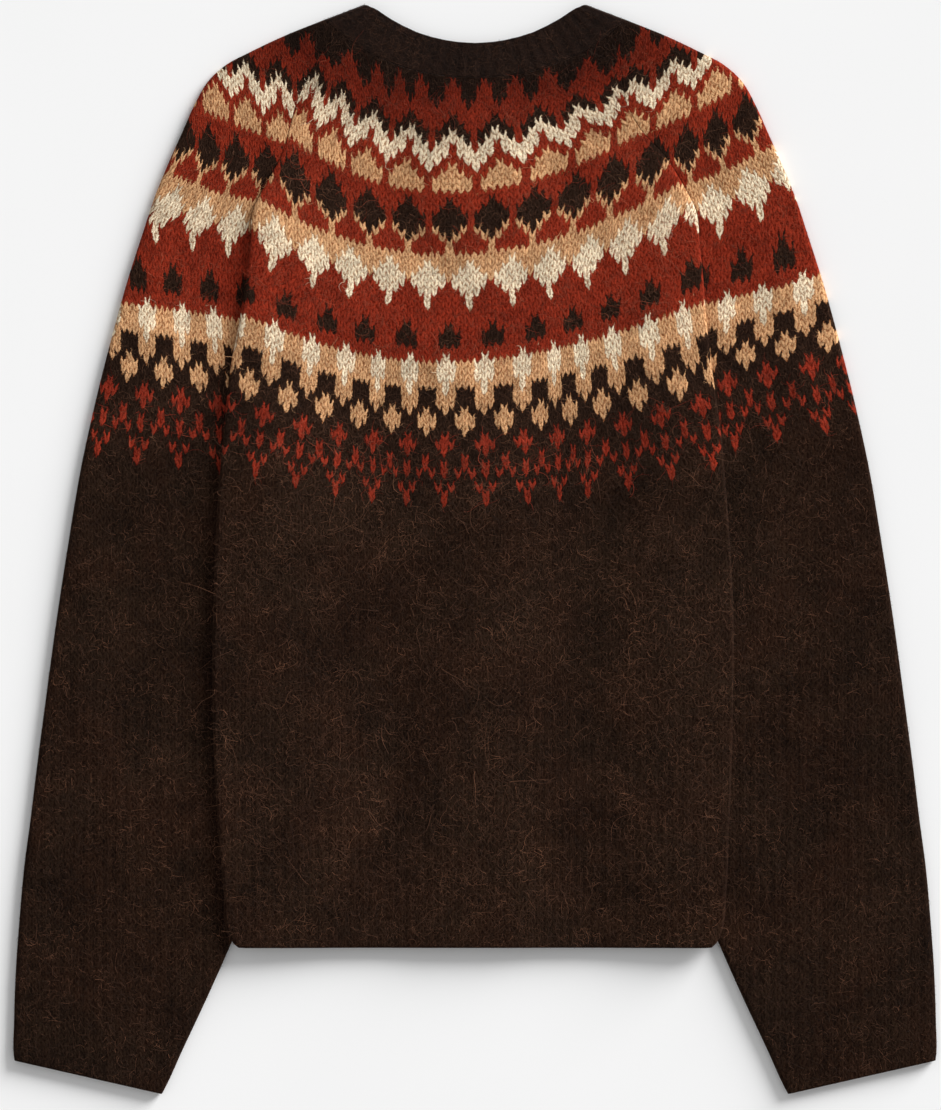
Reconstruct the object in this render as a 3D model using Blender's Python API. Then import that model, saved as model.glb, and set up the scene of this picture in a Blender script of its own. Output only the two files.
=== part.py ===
"""Raglan cardigan with a buttoned front, laid flat on its front with its back up.

Metres, +Z up. The origin is on the floor, under the middle of the outline: +Y runs
from hem to neck and +X to the wearer's right. Every piece is a wall of knitted cloth
built from sections. Tables are in millimetres, a row for each section, and give the
distance out from the centre line; a row is used on both sides unless it has a column
for each. The body lies on the inner edges of the sleeves, so it steps up there, and
again over the button bands along its middle.
"""
import math

import bmesh
import bpy
from mathutils import Vector

MM = 0.001
PART = "cardigan"

# ---- cloth -------------------------------------------------------------------------
WALL = 2.4 * MM          # thickness of the brushed knit
AIR = 1.2 * MM           # between the two layers of a flattened tube
SEAM = 0.3 * MM          # between pieces that touch
EDGE_SEAM = 0.5 * MM     # measured across the body, at the slanted raglan seams
LAY = 2 * WALL + AIR     # height of a flattened tube
LIFT = LAY + SEAM        # how far the body is raised where it lies on a sleeve
FOLD_OUTER = LAY / 2     # a folded edge is half round
FOLD_INNER = FOLD_OUTER - WALL
ROLL_OUTER = (LAY - SEAM) / 2   # a seamed edge is two quarters, a seam apart
ROLL_STEPS = 3
FOLD_STEPS = 5

# ---- front opening -----------------------------------------------------------------
BAND_WIDTH = 28.0 * MM
BUTTON_COUNT = 7
BUTTON_DIAMETER = 15.0 * MM
BUTTON_THICKNESS = 2.2 * MM
BUTTON_CLEARANCE = 0.2 * MM     # the buttons stay just above the floor
BUTTON_TOP_Y = 263.0 * MM
BUTTON_LOW_Y = -250.0 * MM
RIGHT_RISE = BUTTON_CLEARANCE + BUTTON_THICKNESS + SEAM   # band with the buttonholes
LEFT_RISE = RIGHT_RISE + WALL + SEAM                      # band with the buttons
BACK_RISE = LEFT_RISE + SEAM - AIR                        # back, over both bands
OPENING_FLAT = BAND_WIDTH / 2 + SEAM
FRONT_FOOT = 45.0 * MM          # where a front is down on the floor again
BACK_FOOT = 60.0 * MM           # where the back has sunk off the bands
NECK_FLAT_Y = 276.0 * MM        # the back starts to sink past the front neck
NECK_FOOT_Y = 312.0 * MM

# ---- where the body lies on the sleeves ---------------------------------------------
UNDERARM_Y = 205.8 * MM         # below it the body lies on the sleeve
FLUSH_Y = 290.0 * MM            # above it body and sleeve lie side by side
FRONT_UNROLL_Y = 220.0 * MM     # above it a front's edge is flat
FRONT_RAMP = 22.0 * MM          # a front drops off the sleeve steeply
BACK_RAMP = 80.0 * MM           # the back, carried by the air under it, does so gently
PUFF = 2.5 * MM                 # the back's loft between its sides and the bands
PUFF_LOW_Y = 150.0 * MM         # the loft dies away from here
PUFF_TOP_Y = 270.0 * MM         # to here
RAMP_CLEARANCE = 1.5 * MM
RAMP_EDGE = 4.4 * MM
SLEEVE_ROLL_Y = 165.0 * MM      # below it the sleeve's underarm edge is fully rolled

HEM_Y = -266.2 * MM
BAND_TOP_Y = 275.6 * MM

# Side edges of the body, hem to underarm.
BODY_EDGE = (
    # y, left, right
    (-266.2, 158.0, 158.0),
    (-263.0, 161.6, 161.4),
    (-257.5, 164.7, 164.0),
    (-227.5, 168.0, 168.0),
    (-190.0, 171.2, 169.6),
    (-154.0, 173.8, 171.2),
    (-100.9, 175.4, 172.4),
    (-34.2, 174.7, 172.4),
    (32.5, 171.8, 168.2),
    (80.0, 167.7, 164.0),
    (120.0, 163.4, 158.4),
    (155.0, 156.8, 154.4),
    (182.0, 152.4, 152.4),
    (205.8, 150.0, 150.0),
)
# Back raglan seams, underarm to neck.
RAGLAN_BACK = (
    # y, left, right
    (205.8, 150.0, 150.0),
    (224.5, 148.7, 148.0),
    (243.0, 140.2, 139.0),
    (262.0, 129.5, 127.0),
    (280.0, 124.0, 110.5),
    (299.0, 118.7, 100.7),
    (325.0, 106.0, 97.0),
    (345.7, 92.0, 92.0),
)
# Front raglan seams, underarm to neck.
RAGLAN_FRONT = (
    # y, out
    (205.8, 150.0),
    (220.0, 143.0),
    (235.0, 136.5),
    (250.0, 127.5),
    (265.0, 118.0),
    (282.0, 107.0),
    (299.0, 95.5),
    (316.0, 84.0),
)
# Inner (underarm) edge of a sleeve, underarm to cuff.
SLEEVE_INNER = (
    # y, out
    (205.8, 150.0),
    (185.0, 149.0),
    (160.0, 148.6),
    (130.0, 150.7),
    (95.0, 152.2),
    (55.0, 152.6),
    (10.0, 145.4),
    (-34.2, 139.3),
    (-80.0, 134.6),
    (-125.0, 132.0),
    (-165.0, 133.0),
    (-200.0, 139.2),
    (-232.0, 149.6),
    (-263.5, 162.7),
    (-300.9, 179.3),
    (-335.0, 195.3),
    (-359.5, 206.5),
    (-364.0, 210.6),
)
# Sections of a sleeve, neck to cuff: where each leaves the back and front raglan seams
# (from the underarm down, the inner edge), and its point on the outer fold.
SLEEVE = (
    # back_y, front_y, fold_out, fold_y
    (345.7, 316.0, 100.7, 353.2),
    (325.0, 299.0, 127.5, 342.4),
    (299.0, 282.0, 151.5, 331.0),
    (280.0, 265.0, 166.0, 323.3),
    (262.0, 250.0, 178.5, 311.8),
    (243.0, 235.0, 187.5, 296.0),
    (224.5, 220.0, 196.0, 277.0),
    (205.8, 205.8, 205.0, 256.8),
    (185.0, 185.0, 213.5, 236.0),
    (160.0, 160.0, 222.3, 209.5),
    (130.0, 130.0, 232.5, 177.5),
    (95.0, 95.0, 242.5, 141.5),
    (55.0, 55.0, 253.5, 98.0),
    (10.0, 10.0, 263.3, 53.0),
    (-34.2, -34.2, 272.0, 1.0),
    (-80.0, -80.0, 279.8, -50.0),
    (-125.0, -125.0, 286.7, -101.0),
    (-165.0, -165.0, 292.5, -145.0),
    (-200.0, -200.0, 297.0, -182.0),
    (-232.0, -232.0, 301.0, -212.0),
    (-263.5, -263.5, 304.0, -245.0),
    (-300.9, -300.9, 306.8, -285.0),
    (-335.0, -335.0, 307.9, -318.0),
    (-359.5, -359.5, 308.1, -337.5),
    (-364.0, -364.0, 305.0, -342.6),
)
# Neckband, centre back to the fold at the shoulder: its free and its seamed edge.
NECK_BACK = (
    # free_out, free_y, seam_out, seam_y
    (0.0, 337.5, 0.0, 314.5),
    (11.5, 338.2, 14.3, 315.0),
    (20.0, 339.5, 25.0, 316.1),
    (29.5, 341.7, 37.0, 318.2),
    (38.5, 344.6, 48.0, 321.2),
    (48.0, 349.0, 60.0, 325.8),
    (56.5, 353.7, 71.0, 330.8),
    (63.5, 358.4, 82.1, 337.6),
    (68.3, 361.4, 92.0, 345.7),
)
NECK_FOLD = (73.3, 364.2, 100.7, 353.2)
# Neckband, fold to the button band at the front.
NECK_FRONT = (
    # free_out, free_y, seam_out, seam_y
    (70.5, 346.0, 93.0, 336.0),
    (63.4, 325.8, 84.0, 316.0),
    (55.2, 310.1, 74.2, 297.5),
    (42.8, 294.5, 59.5, 279.0),
    (31.8, 284.5, 45.0, 266.0),
    (20.0, 278.2, 29.0, 257.2),
    (14.3, 275.6, 14.3, 252.8),
)
NECK_STEPS = 3           # faces across the neckband
# Columns of a body panel near the opening, and of a front's ramp, in from its top.
BACK_COLUMNS = (14.3, 25.0, 37.0, 48.0, 60.0)
FRONT_COLUMNS = (14.3, 21.0, 29.0, 37.0, 45.0)
FRONT_RAMP_COLUMNS = (22.0, 16.5, 11.0, 5.5, 0.0)
BACK_RAMP_STEPS = 5
SLEEVE_COLUMNS = 4       # faces across each layer of a sleeve

COLOURS = {
    "knit": (0.024, 0.014, 0.010),
    "rib": (0.020, 0.012, 0.009),
    "button": (0.055, 0.030, 0.016),
}
ROUGHNESS = {"knit": 0.95, "rib": 0.95, "button": 0.35}


# ---- reading the tables --------------------------------------------------------------
def column(table, index):
    """One column of a table, in metres."""
    return [row[index] * MM for row in table]


def smoothstep(t):
    t = min(max(t, 0.0), 1.0)
    return t * t * (3.0 - 2.0 * t)


def curve(table, index, at):
    """A smooth curve through a table's rows: column `index` at the row value `at`."""
    knots = column(table, 0)
    values = column(table, index)
    if knots[0] > knots[-1]:
        knots.reverse()
        values.reverse()
    if at <= knots[0]:
        return values[0]
    if at >= knots[-1]:
        return values[-1]
    last = len(knots) - 1
    i = max(k for k in range(last) if knots[k] <= at)
    slopes = [(values[k + 1] - values[k]) / (knots[k + 1] - knots[k]) for k in range(last)]

    def tangent(k):
        if k == 0:
            return slopes[0]
        if k == last:
            return slopes[-1]
        before = knots[k] - knots[k - 1]
        after = knots[k + 1] - knots[k]
        return (slopes[k - 1] * after + slopes[k] * before) / (before + after)

    span = knots[i + 1] - knots[i]
    t = (at - knots[i]) / span
    rise = (1.0 + 2.0 * t) * (1.0 - t) ** 2 * values[i] + t * t * (3.0 - 2.0 * t) * values[i + 1]
    return rise + span * (t * (1.0 - t) ** 2 * tangent(i) - t * t * (1.0 - t) * tangent(i + 1))


def along(points, x):
    """Height of a polyline of (x, y) points at x."""
    for (x0, y0), (x1, y1) in zip(points, points[1:]):
        if x <= x1:
            return y0 + (y1 - y0) * (x - x0) / (x1 - x0)
    return points[-1][1]


def side_column(side):
    """Column of a table that has one for each side: -1 is left, +1 is right."""
    return 1 if side < 0 else 2


# ---- how high the cloth lies ---------------------------------------------------------
def body_edge(y, side):
    """Distance out of the back's edge: its side below the underarm, its raglan above."""
    table = BODY_EDGE if y <= UNDERARM_Y else RAGLAN_BACK
    return curve(table, side_column(side), y)


def overlap(y):
    """How far the body has climbed onto the sleeve: 0 side by side, 1 on top of it."""
    return 1.0 - smoothstep((y - UNDERARM_Y) / (FLUSH_Y - UNDERARM_Y))


def ramp_top(y, side):
    """Where the body reaches its raised level over the sleeve."""
    limit = body_edge(y, side) - RAMP_EDGE
    if y > UNDERARM_Y:
        return limit
    return min(limit, curve(SLEEVE_INNER, 1, y) - RAMP_CLEARANCE)


def on_sleeve(out, y, side, ramp):
    """0 clear of the sleeve, 1 on top of it."""
    return smoothstep((out - ramp_top(y, side)) / ramp + 1.0)


def on_bands(out, foot):
    """1 over the button bands, 0 clear of them."""
    return 1.0 - smoothstep((out - OPENING_FLAT) / (foot - OPENING_FLAT))


def back_rise(out, y, side):
    puff = PUFF * (1.0 - smoothstep((y - PUFF_LOW_Y) / (PUFF_TOP_Y - PUFF_LOW_Y)))
    over_sleeve = (LIFT * overlap(y) - puff) * on_sleeve(out, y, side, BACK_RAMP)
    past_neck = 1.0 - smoothstep((y - NECK_FLAT_Y) / (NECK_FOOT_Y - NECK_FLAT_Y))
    over_bands = (BACK_RISE * past_neck - puff) * on_bands(out, BACK_FOOT)
    return puff + over_sleeve + over_bands


def front_rise(out, y, side):
    level = LEFT_RISE if side < 0 else RIGHT_RISE
    over_sleeve = LIFT * overlap(y) * on_sleeve(out, y, side, FRONT_RAMP)
    return over_sleeve + level * on_bands(out, FRONT_FOOT)


# ---- sections ------------------------------------------------------------------------
# A section is a list of (outer, inner) points across a wall.
def roll(turn):
    """The last stretch of a seamed edge, bent down through `turn` radians.

    Returns (short, drop) for the outer and the inner face, from the flat to the end:
    how far the point lies short of the edge, and how far below the flat outer face.
    """
    length = ROLL_OUTER * math.pi / 2.0
    points = []
    for step in range(ROLL_STEPS + 1):
        share = step / ROLL_STEPS
        if turn < 0.02:
            short = length * (1.0 - share)
            points.append((short, 0.0, short, WALL))
            continue
        outer = length / turn
        inner = outer - WALL
        angle = turn * share
        reach = outer * math.sin(turn)
        points.append((
            reach - outer * math.sin(angle),
            outer * (1.0 - math.cos(angle)),
            reach - inner * math.sin(angle),
            outer - inner * math.cos(angle),
        ))
    return points


def back_columns(edge_y, edge, side):
    """Distances out of the back's flat columns at one row."""
    columns = [c * MM for c in BACK_COLUMNS]
    foot = columns[-1]
    top = ramp_top(edge_y, side)
    for step in range(1, BACK_RAMP_STEPS + 1):
        columns.append(foot + (top - foot) * step / BACK_RAMP_STEPS)
    columns.append((top + edge) / 2.0)
    return [0.0] + columns


def front_columns(edge_y, edge, side):
    """Distances out of a front's flat columns at one row.

    Above the underarm they are the underarm row's, drawn in to the narrower row.
    """
    if edge_y > UNDERARM_Y:
        joint_edge = body_edge(UNDERARM_Y, side) - EDGE_SEAM / 2.0 - roll(math.pi / 2.0)[0][0]
        joint = front_columns(UNDERARM_Y, joint_edge, side)
        first = FRONT_COLUMNS[-1] * MM
        scale = (edge - first) / (joint_edge - first)
        return [c if c <= first else first + (c - first) * scale for c in joint]
    columns = [c * MM for c in FRONT_COLUMNS]
    top = ramp_top(edge_y, side)
    ramp = [top - c * MM for c in FRONT_RAMP_COLUMNS]
    columns.append((columns[-1] + ramp[0]) / 2.0)
    columns.extend(ramp)
    columns.append((top + edge) / 2.0)
    return columns


def half_panel(rows, side, seam_line, rise, back):
    """Sections of half a body panel, hem to neck, each from the opening to the edge.

    rows: (y, distance out) of the panel's edge. Above the underarm the rows bend until
    the last one follows seam_line, the neckband's edge as a list of (out, y).
    """
    flat_rows = []
    unrolled_y = FLUSH_Y if back else FRONT_UNROLL_Y
    for edge_y, edge in rows:
        rolled = 1.0 - smoothstep((edge_y - UNDERARM_Y) / (unrolled_y - UNDERARM_Y))
        points = roll(math.pi / 2.0 * rolled)
        columns = back_columns if back else front_columns
        row = [(out, 0.0, out, WALL) for out in columns(edge_y, edge - points[0][0], side)]
        row += [(edge - a, b, edge - c, d) for a, b, c, d in points]
        flat_rows.append(row)

    top_y = rows[-1][0]
    tops = [along(seam_line, point[0]) for point in flat_rows[-1]]
    sections = []
    for (edge_y, _), row in zip(rows, flat_rows):
        section = []
        for (out, drop, inner_out, inner_drop), top in zip(row, tops):
            y = edge_y
            if edge_y > UNDERARM_Y:
                y = UNDERARM_Y + (edge_y - UNDERARM_Y) * (top - UNDERARM_Y) / (top_y - UNDERARM_Y)
            level = rise(out, y, side)
            outer = LAY + level - drop if back else level + drop
            inner = LAY + level - inner_drop if back else level + inner_drop
            section.append((
                Vector((side * out, y, outer)),
                Vector((side * inner_out, y, inner)),
            ))
        sections.append(section)
    return sections


def seam_line(table):
    """The neckband's seamed edge on one layer, from the middle outwards."""
    points = [(row[2] * MM, row[3] * MM) for row in table]
    return sorted(points)


def edge_rows(raglan, index, side):
    """(y, distance out) down a body panel's edge: side seam, then raglan seam."""
    body = [(row[0] * MM, row[side_column(side)] * MM) for row in BODY_EDGE]
    seam = [(row[0] * MM, row[index] * MM) for row in raglan[1:]]
    return [(y, out - EDGE_SEAM / 2.0) for y, out in body + seam]


def back_sections():
    halves = []
    for side in (-1, 1):
        rows = edge_rows(RAGLAN_BACK, side_column(side), side)
        halves.append(half_panel(rows, side, seam_line(NECK_BACK), back_rise, True))
    left, right = halves
    return [list(reversed(a)) + b[1:] for a, b in zip(left, right)]


def front_sections(side):
    rows = edge_rows(RAGLAN_FRONT, 1, side)
    return half_panel(rows, side, seam_line(NECK_FRONT), front_rise, False)


def sleeve_section(row, side):
    """Once round a sleeve: underarm edge, upper layer, outer fold, lower layer."""
    back_y, front_y, fold_out, fold_y = (value * MM for value in row)
    fold = Vector((fold_out, fold_y))
    if back_y > UNDERARM_Y:
        back_out = curve(RAGLAN_BACK, side_column(side), back_y)
        front_out = curve(RAGLAN_FRONT, 1, front_y)
    else:
        back_out = front_out = curve(SLEEVE_INNER, 1, back_y)
    rolled = smoothstep((UNDERARM_Y - back_y) / (UNDERARM_Y - SLEEVE_ROLL_Y))
    points = roll(math.pi / 2.0 * rolled)
    section = []

    def place(start, distance, outer_z, inner_distance, inner_z):
        way = (fold - start).normalized()
        outer = start + way * distance
        inner = start + way * inner_distance
        section.append((
            Vector((side * outer.x, outer.y, outer_z)),
            Vector((side * inner.x, inner.y, inner_z)),
        ))

    ends = (
        Vector((back_out + EDGE_SEAM / 2.0, back_y)),
        Vector((front_out + EDGE_SEAM / 2.0, front_y)),
    )
    widths = [(fold - end).length for end in ends]
    for short, drop, inner_short, inner_drop in reversed(points):
        place(ends[0], short, LAY - drop, inner_short, LAY - inner_drop)
    first = points[0][0]
    for step in range(1, SLEEVE_COLUMNS):
        distance = first + (widths[0] - FOLD_OUTER - first) * step / SLEEVE_COLUMNS
        place(ends[0], distance, LAY, distance, LAY - WALL)
    for step in range(FOLD_STEPS + 1):
        angle = math.pi * step / FOLD_STEPS
        layer = 0 if angle < math.pi / 2.0 else 1
        middle = widths[layer] - FOLD_OUTER
        place(
            ends[layer],
            middle + FOLD_OUTER * math.sin(angle),
            FOLD_OUTER * (1.0 + math.cos(angle)),
            middle + FOLD_INNER * math.sin(angle),
            FOLD_OUTER + FOLD_INNER * math.cos(angle),
        )
    for step in range(SLEEVE_COLUMNS - 1, 0, -1):
        distance = first + (widths[1] - FOLD_OUTER - first) * step / SLEEVE_COLUMNS
        place(ends[1], distance, 0.0, distance, WALL)
    for short, drop, inner_short, inner_drop in points:
        place(ends[1], short, drop, inner_short, inner_drop)
    return section


def sleeve_sections(side):
    return [sleeve_section(row, side) for row in SLEEVE]


def across_neckband(free, seam):
    """Points from the free edge to just short of the seam."""
    free = Vector(free)
    seam = Vector(seam)
    seam += (free - seam).normalized() * EDGE_SEAM * 0.8
    return [free.lerp(seam, step / NECK_STEPS) for step in range(NECK_STEPS + 1)]


def neckband_half(side):
    """Sections of half the neckband, centre back to button band."""
    sections = []
    back = [(Vector(row[:2]) * MM, Vector(row[2:]) * MM) for row in NECK_BACK]
    front = [(Vector(row[:2]) * MM, Vector(row[2:]) * MM) for row in NECK_FRONT]
    tip = Vector(NECK_FOLD[:2]) * MM
    heel = Vector(NECK_FOLD[2:]) * MM
    crease = (heel - tip).normalized()
    outwards = Vector((-crease.y, crease.x))

    for free, seam in back:
        section = []
        for point in across_neckband(free, seam):
            top = LAY + back_rise(point.x, point.y, side)
            section.append((
                Vector((side * point.x, point.y, top)),
                Vector((side * point.x, point.y, top - WALL)),
            ))
        sections.append(section)
    for step in range(FOLD_STEPS + 1):
        angle = math.pi * step / FOLD_STEPS
        seam_next = back[-1][1] if angle < math.pi / 2.0 else front[0][1]
        seam_way = (heel - seam_next).normalized()
        faces = []
        for radius in (FOLD_OUTER, FOLD_INNER):
            short = FOLD_OUTER - radius * math.sin(angle)
            height = FOLD_OUTER + radius * math.cos(angle)
            points = across_neckband(tip - outwards * short, heel - seam_way * short)
            faces.append([Vector((side * p.x, p.y, height)) for p in points])
        sections.append(list(zip(*faces)))
    for free, seam in front:
        section = []
        for point in across_neckband(free, seam):
            low = front_rise(point.x, point.y, side)
            section.append((
                Vector((side * point.x, point.y, low)),
                Vector((side * point.x, point.y, low + WALL)),
            ))
        sections.append(section)
    return sections


def neckband_sections():
    left = neckband_half(-1)
    right = neckband_half(1)
    return list(reversed(left)) + right[1:]


# ---- making objects ------------------------------------------------------------------
def clear_scene():
    for old in list(bpy.data.objects):
        bpy.data.objects.remove(old, do_unlink=True)


def make_material(slot):
    material = bpy.data.materials.new(slot)
    material.use_nodes = True
    shader = material.node_tree.nodes["Principled BSDF"]
    shader.inputs["Base Color"].default_value = (*COLOURS[slot], 1.0)
    shader.inputs["Roughness"].default_value = ROUGHNESS[slot]
    shader.inputs["Metallic"].default_value = 0.0
    return material


def add_object(name, mesh, collection, material):
    mesh.materials.append(material)
    part = bpy.data.objects.new(name, mesh)
    collection.objects.link(part)
    return part


def wall(name, sections, collection, material):
    """A closed wall lofted through sections of (outer, inner) points."""
    shape = bmesh.new()
    faces = [[[shape.verts.new(pair[k]) for pair in row] for row in sections] for k in (0, 1)]
    for grid in faces:
        for low, high in zip(grid, grid[1:]):
            for j in range(len(low) - 1):
                shape.faces.new((low[j], low[j + 1], high[j + 1], high[j]))
    outer, inner = faces
    rims = [(outer[0], inner[0]), (outer[-1], inner[-1])]
    for j in (0, -1):
        rims.append(([row[j] for row in outer], [row[j] for row in inner]))
    for a, b in rims:
        for j in range(len(a) - 1):
            shape.faces.new((a[j], a[j + 1], b[j + 1], b[j]))
    bmesh.ops.recalc_face_normals(shape, faces=shape.faces)
    mesh = bpy.data.meshes.new(name)
    shape.to_mesh(mesh)
    shape.free()
    mesh.shade_smooth()
    mesh.set_sharp_from_angle(angle=math.radians(50.0))
    return add_object(name, mesh, collection, material)


def button_band(name, rise, collection, material):
    """A straight strip from the hem to the top of the neckband."""
    shape = bmesh.new()
    bmesh.ops.create_cube(shape, size=1.0)
    size = Vector((BAND_WIDTH, BAND_TOP_Y - HEM_Y, WALL))
    bmesh.ops.scale(shape, vec=size, verts=shape.verts)
    bmesh.ops.bevel(
        shape, geom=shape.edges, offset=0.5 * MM, offset_type="OFFSET", segments=1,
        profile=0.5, affect="EDGES", clamp_overlap=True, material=-1,
    )
    mesh = bpy.data.meshes.new(name)
    shape.to_mesh(mesh)
    shape.free()
    band = add_object(name, mesh, collection, material)
    band.location = (0.0, (BAND_TOP_Y + HEM_Y) / 2.0, rise + WALL / 2.0)
    return band


def button(name, y, mesh, collection):
    part = bpy.data.objects.new(name, mesh)
    collection.objects.link(part)
    part.location = (0.0, y, BUTTON_CLEARANCE + BUTTON_THICKNESS / 2.0)
    return part


def button_mesh(material):
    """A round button with an eased rim."""
    shape = bmesh.new()
    bmesh.ops.create_cone(
        shape, cap_ends=True, cap_tris=False, segments=20,
        radius1=BUTTON_DIAMETER / 2.0, radius2=BUTTON_DIAMETER / 2.0, depth=BUTTON_THICKNESS,
    )
    rims = [edge for edge in shape.edges if abs(edge.verts[0].co.z - edge.verts[1].co.z) < 1e-6]
    bmesh.ops.bevel(
        shape, geom=rims, offset=0.6 * MM, offset_type="OFFSET", segments=2,
        profile=0.5, affect="EDGES", clamp_overlap=True, material=-1,
    )
    mesh = bpy.data.meshes.new("button")
    shape.to_mesh(mesh)
    shape.free()
    mesh.materials.append(material)
    mesh.shade_smooth()
    mesh.set_sharp_from_angle(angle=math.radians(50.0))
    return mesh


def main():
    clear_scene()
    parts = bpy.data.collections.new(PART)
    bpy.context.scene.collection.children.link(parts)
    knit = make_material("knit")
    rib = make_material("rib")
    horn = make_material("button")

    wall("back", back_sections(), parts, knit)
    for side, word in ((-1, "left"), (1, "right")):
        wall(f"front_{word}", front_sections(side), parts, knit)
        wall(f"sleeve_{word}", sleeve_sections(side), parts, knit)
    wall("neckband", neckband_sections(), parts, rib)
    button_band("buttonband_left", LEFT_RISE, parts, rib)
    button_band("buttonband_right", RIGHT_RISE, parts, rib)

    shared = button_mesh(horn)
    pitch = (BUTTON_TOP_Y - BUTTON_LOW_Y) / (BUTTON_COUNT - 1)
    for number in range(BUTTON_COUNT):
        button(f"button_{number + 1}", BUTTON_TOP_Y - number * pitch, shared, parts)


main()
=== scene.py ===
"""Looks of a raglan cardigan laid flat on its buttoned front, with its back up.

Metres, +Z up, in the frame of the solids: +Y runs from hem to neck and +X to the
wearer's right. Each piece of cloth is a thin shell on the form of its solid. Tables are
in millimetres. A UV map named "stitches" counts stitches and rows over each piece, so that
the knitting and its pattern follow the cloth.
"""

import logging
import math
from collections.abc import Callable, Sequence
from dataclasses import dataclass, field
from enum import Enum

import bmesh
import bpy
import numpy as np
from mathutils import Matrix, Vector


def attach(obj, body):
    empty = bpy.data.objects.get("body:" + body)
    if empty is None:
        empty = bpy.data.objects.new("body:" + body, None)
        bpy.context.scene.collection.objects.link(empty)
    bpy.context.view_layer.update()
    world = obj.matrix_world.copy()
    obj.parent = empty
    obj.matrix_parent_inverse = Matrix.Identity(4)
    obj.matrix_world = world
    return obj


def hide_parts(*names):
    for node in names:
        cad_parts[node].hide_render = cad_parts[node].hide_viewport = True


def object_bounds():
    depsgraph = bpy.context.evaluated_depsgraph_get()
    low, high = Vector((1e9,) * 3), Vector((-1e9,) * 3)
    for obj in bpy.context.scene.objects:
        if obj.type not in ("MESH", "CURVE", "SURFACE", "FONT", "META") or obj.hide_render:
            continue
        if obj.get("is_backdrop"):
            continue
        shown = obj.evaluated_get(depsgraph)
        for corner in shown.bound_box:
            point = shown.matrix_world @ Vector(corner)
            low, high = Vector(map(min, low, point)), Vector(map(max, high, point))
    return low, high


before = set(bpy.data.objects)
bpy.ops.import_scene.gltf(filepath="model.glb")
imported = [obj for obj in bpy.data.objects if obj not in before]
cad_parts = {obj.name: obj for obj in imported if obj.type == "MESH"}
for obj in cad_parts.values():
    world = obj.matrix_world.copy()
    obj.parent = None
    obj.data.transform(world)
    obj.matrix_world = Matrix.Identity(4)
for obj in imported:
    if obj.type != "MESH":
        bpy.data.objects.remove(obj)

MM = 0.001
LOG = logging.getLogger("cardigan")
Array = np.ndarray


class Side(Enum):
    """Which half of the garment a piece belongs to."""

    LEFT = -1
    RIGHT = 1

    @property
    def word(self) -> str:
        """The side's name in the solids' node names."""
        return self.name.lower()

    @property
    def column(self) -> int:
        """The side's column in the tables that have one for each."""
        return 1 if self is Side.LEFT else 2


class Slot(Enum):
    """Material slots, by name."""

    KNIT = "knit"
    RIB = "rib"
    BUTTON = "button"


# ---- sizes and tables that the solids share --------------------------------------------
@dataclass(frozen=True)
class Cloth:
    """How thick the knit is and how its layers lie on each other, in metres."""

    wall: float = 2.4 * MM
    air: float = 1.2 * MM
    seam: float = 0.3 * MM
    edge_seam: float = 0.24 * MM

    @property
    def lay(self) -> float:
        """Height of a flattened tube."""
        return 2.0 * self.wall + self.air

    @property
    def lift(self) -> float:
        """How far the body is raised where it lies on a sleeve."""
        return self.lay + self.seam

    @property
    def fold_outer(self) -> float:
        """Outer radius of a folded edge."""
        return self.lay / 2.0

    @property
    def roll_outer(self) -> float:
        """Outer radius of a seamed edge, two quarters a seam apart."""
        return (self.lay - self.seam) / 2.0


CLOTH = Cloth()

# Side edges of the body, hem to underarm: y, left, right.
BODY_EDGE = (
    (-266.2, 158.0, 158.0), (-263.0, 161.6, 161.4), (-257.5, 164.7, 164.0),
    (-227.5, 168.0, 168.0), (-190.0, 171.2, 169.6), (-154.0, 173.8, 171.2),
    (-100.9, 175.4, 172.4), (-34.2, 174.7, 172.4), (32.5, 171.8, 168.2),
    (80.0, 167.7, 164.0), (120.0, 163.4, 158.4), (155.0, 156.8, 154.4),
    (182.0, 152.4, 152.4), (205.8, 150.0, 150.0),
)
# Back raglan seams, underarm to neck: y, left, right.
RAGLAN_BACK = (
    (205.8, 150.0, 150.0), (224.5, 148.7, 148.0), (243.0, 140.2, 139.0),
    (262.0, 129.5, 127.0), (280.0, 124.0, 110.5), (299.0, 118.7, 100.7),
    (325.0, 106.0, 97.0), (345.7, 92.0, 92.0),
)
# Front raglan seams, underarm to neck: y, distance out.
RAGLAN_FRONT = (
    (205.8, 150.0), (220.0, 143.0), (235.0, 136.5), (250.0, 127.5), (265.0, 118.0),
    (282.0, 107.0), (299.0, 95.5), (316.0, 84.0),
)
# Inner edge of a sleeve, underarm to cuff: y, distance out.
SLEEVE_INNER = (
    (205.8, 150.0), (185.0, 149.0), (160.0, 148.6), (130.0, 150.7), (95.0, 152.2),
    (55.0, 152.6), (10.0, 145.4), (-34.2, 139.3), (-80.0, 134.6), (-125.0, 132.0),
    (-165.0, 133.0), (-200.0, 139.2), (-232.0, 149.6), (-263.5, 162.7), (-300.9, 179.3),
    (-335.0, 195.3), (-359.5, 206.5), (-364.0, 208.9),
)
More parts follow.
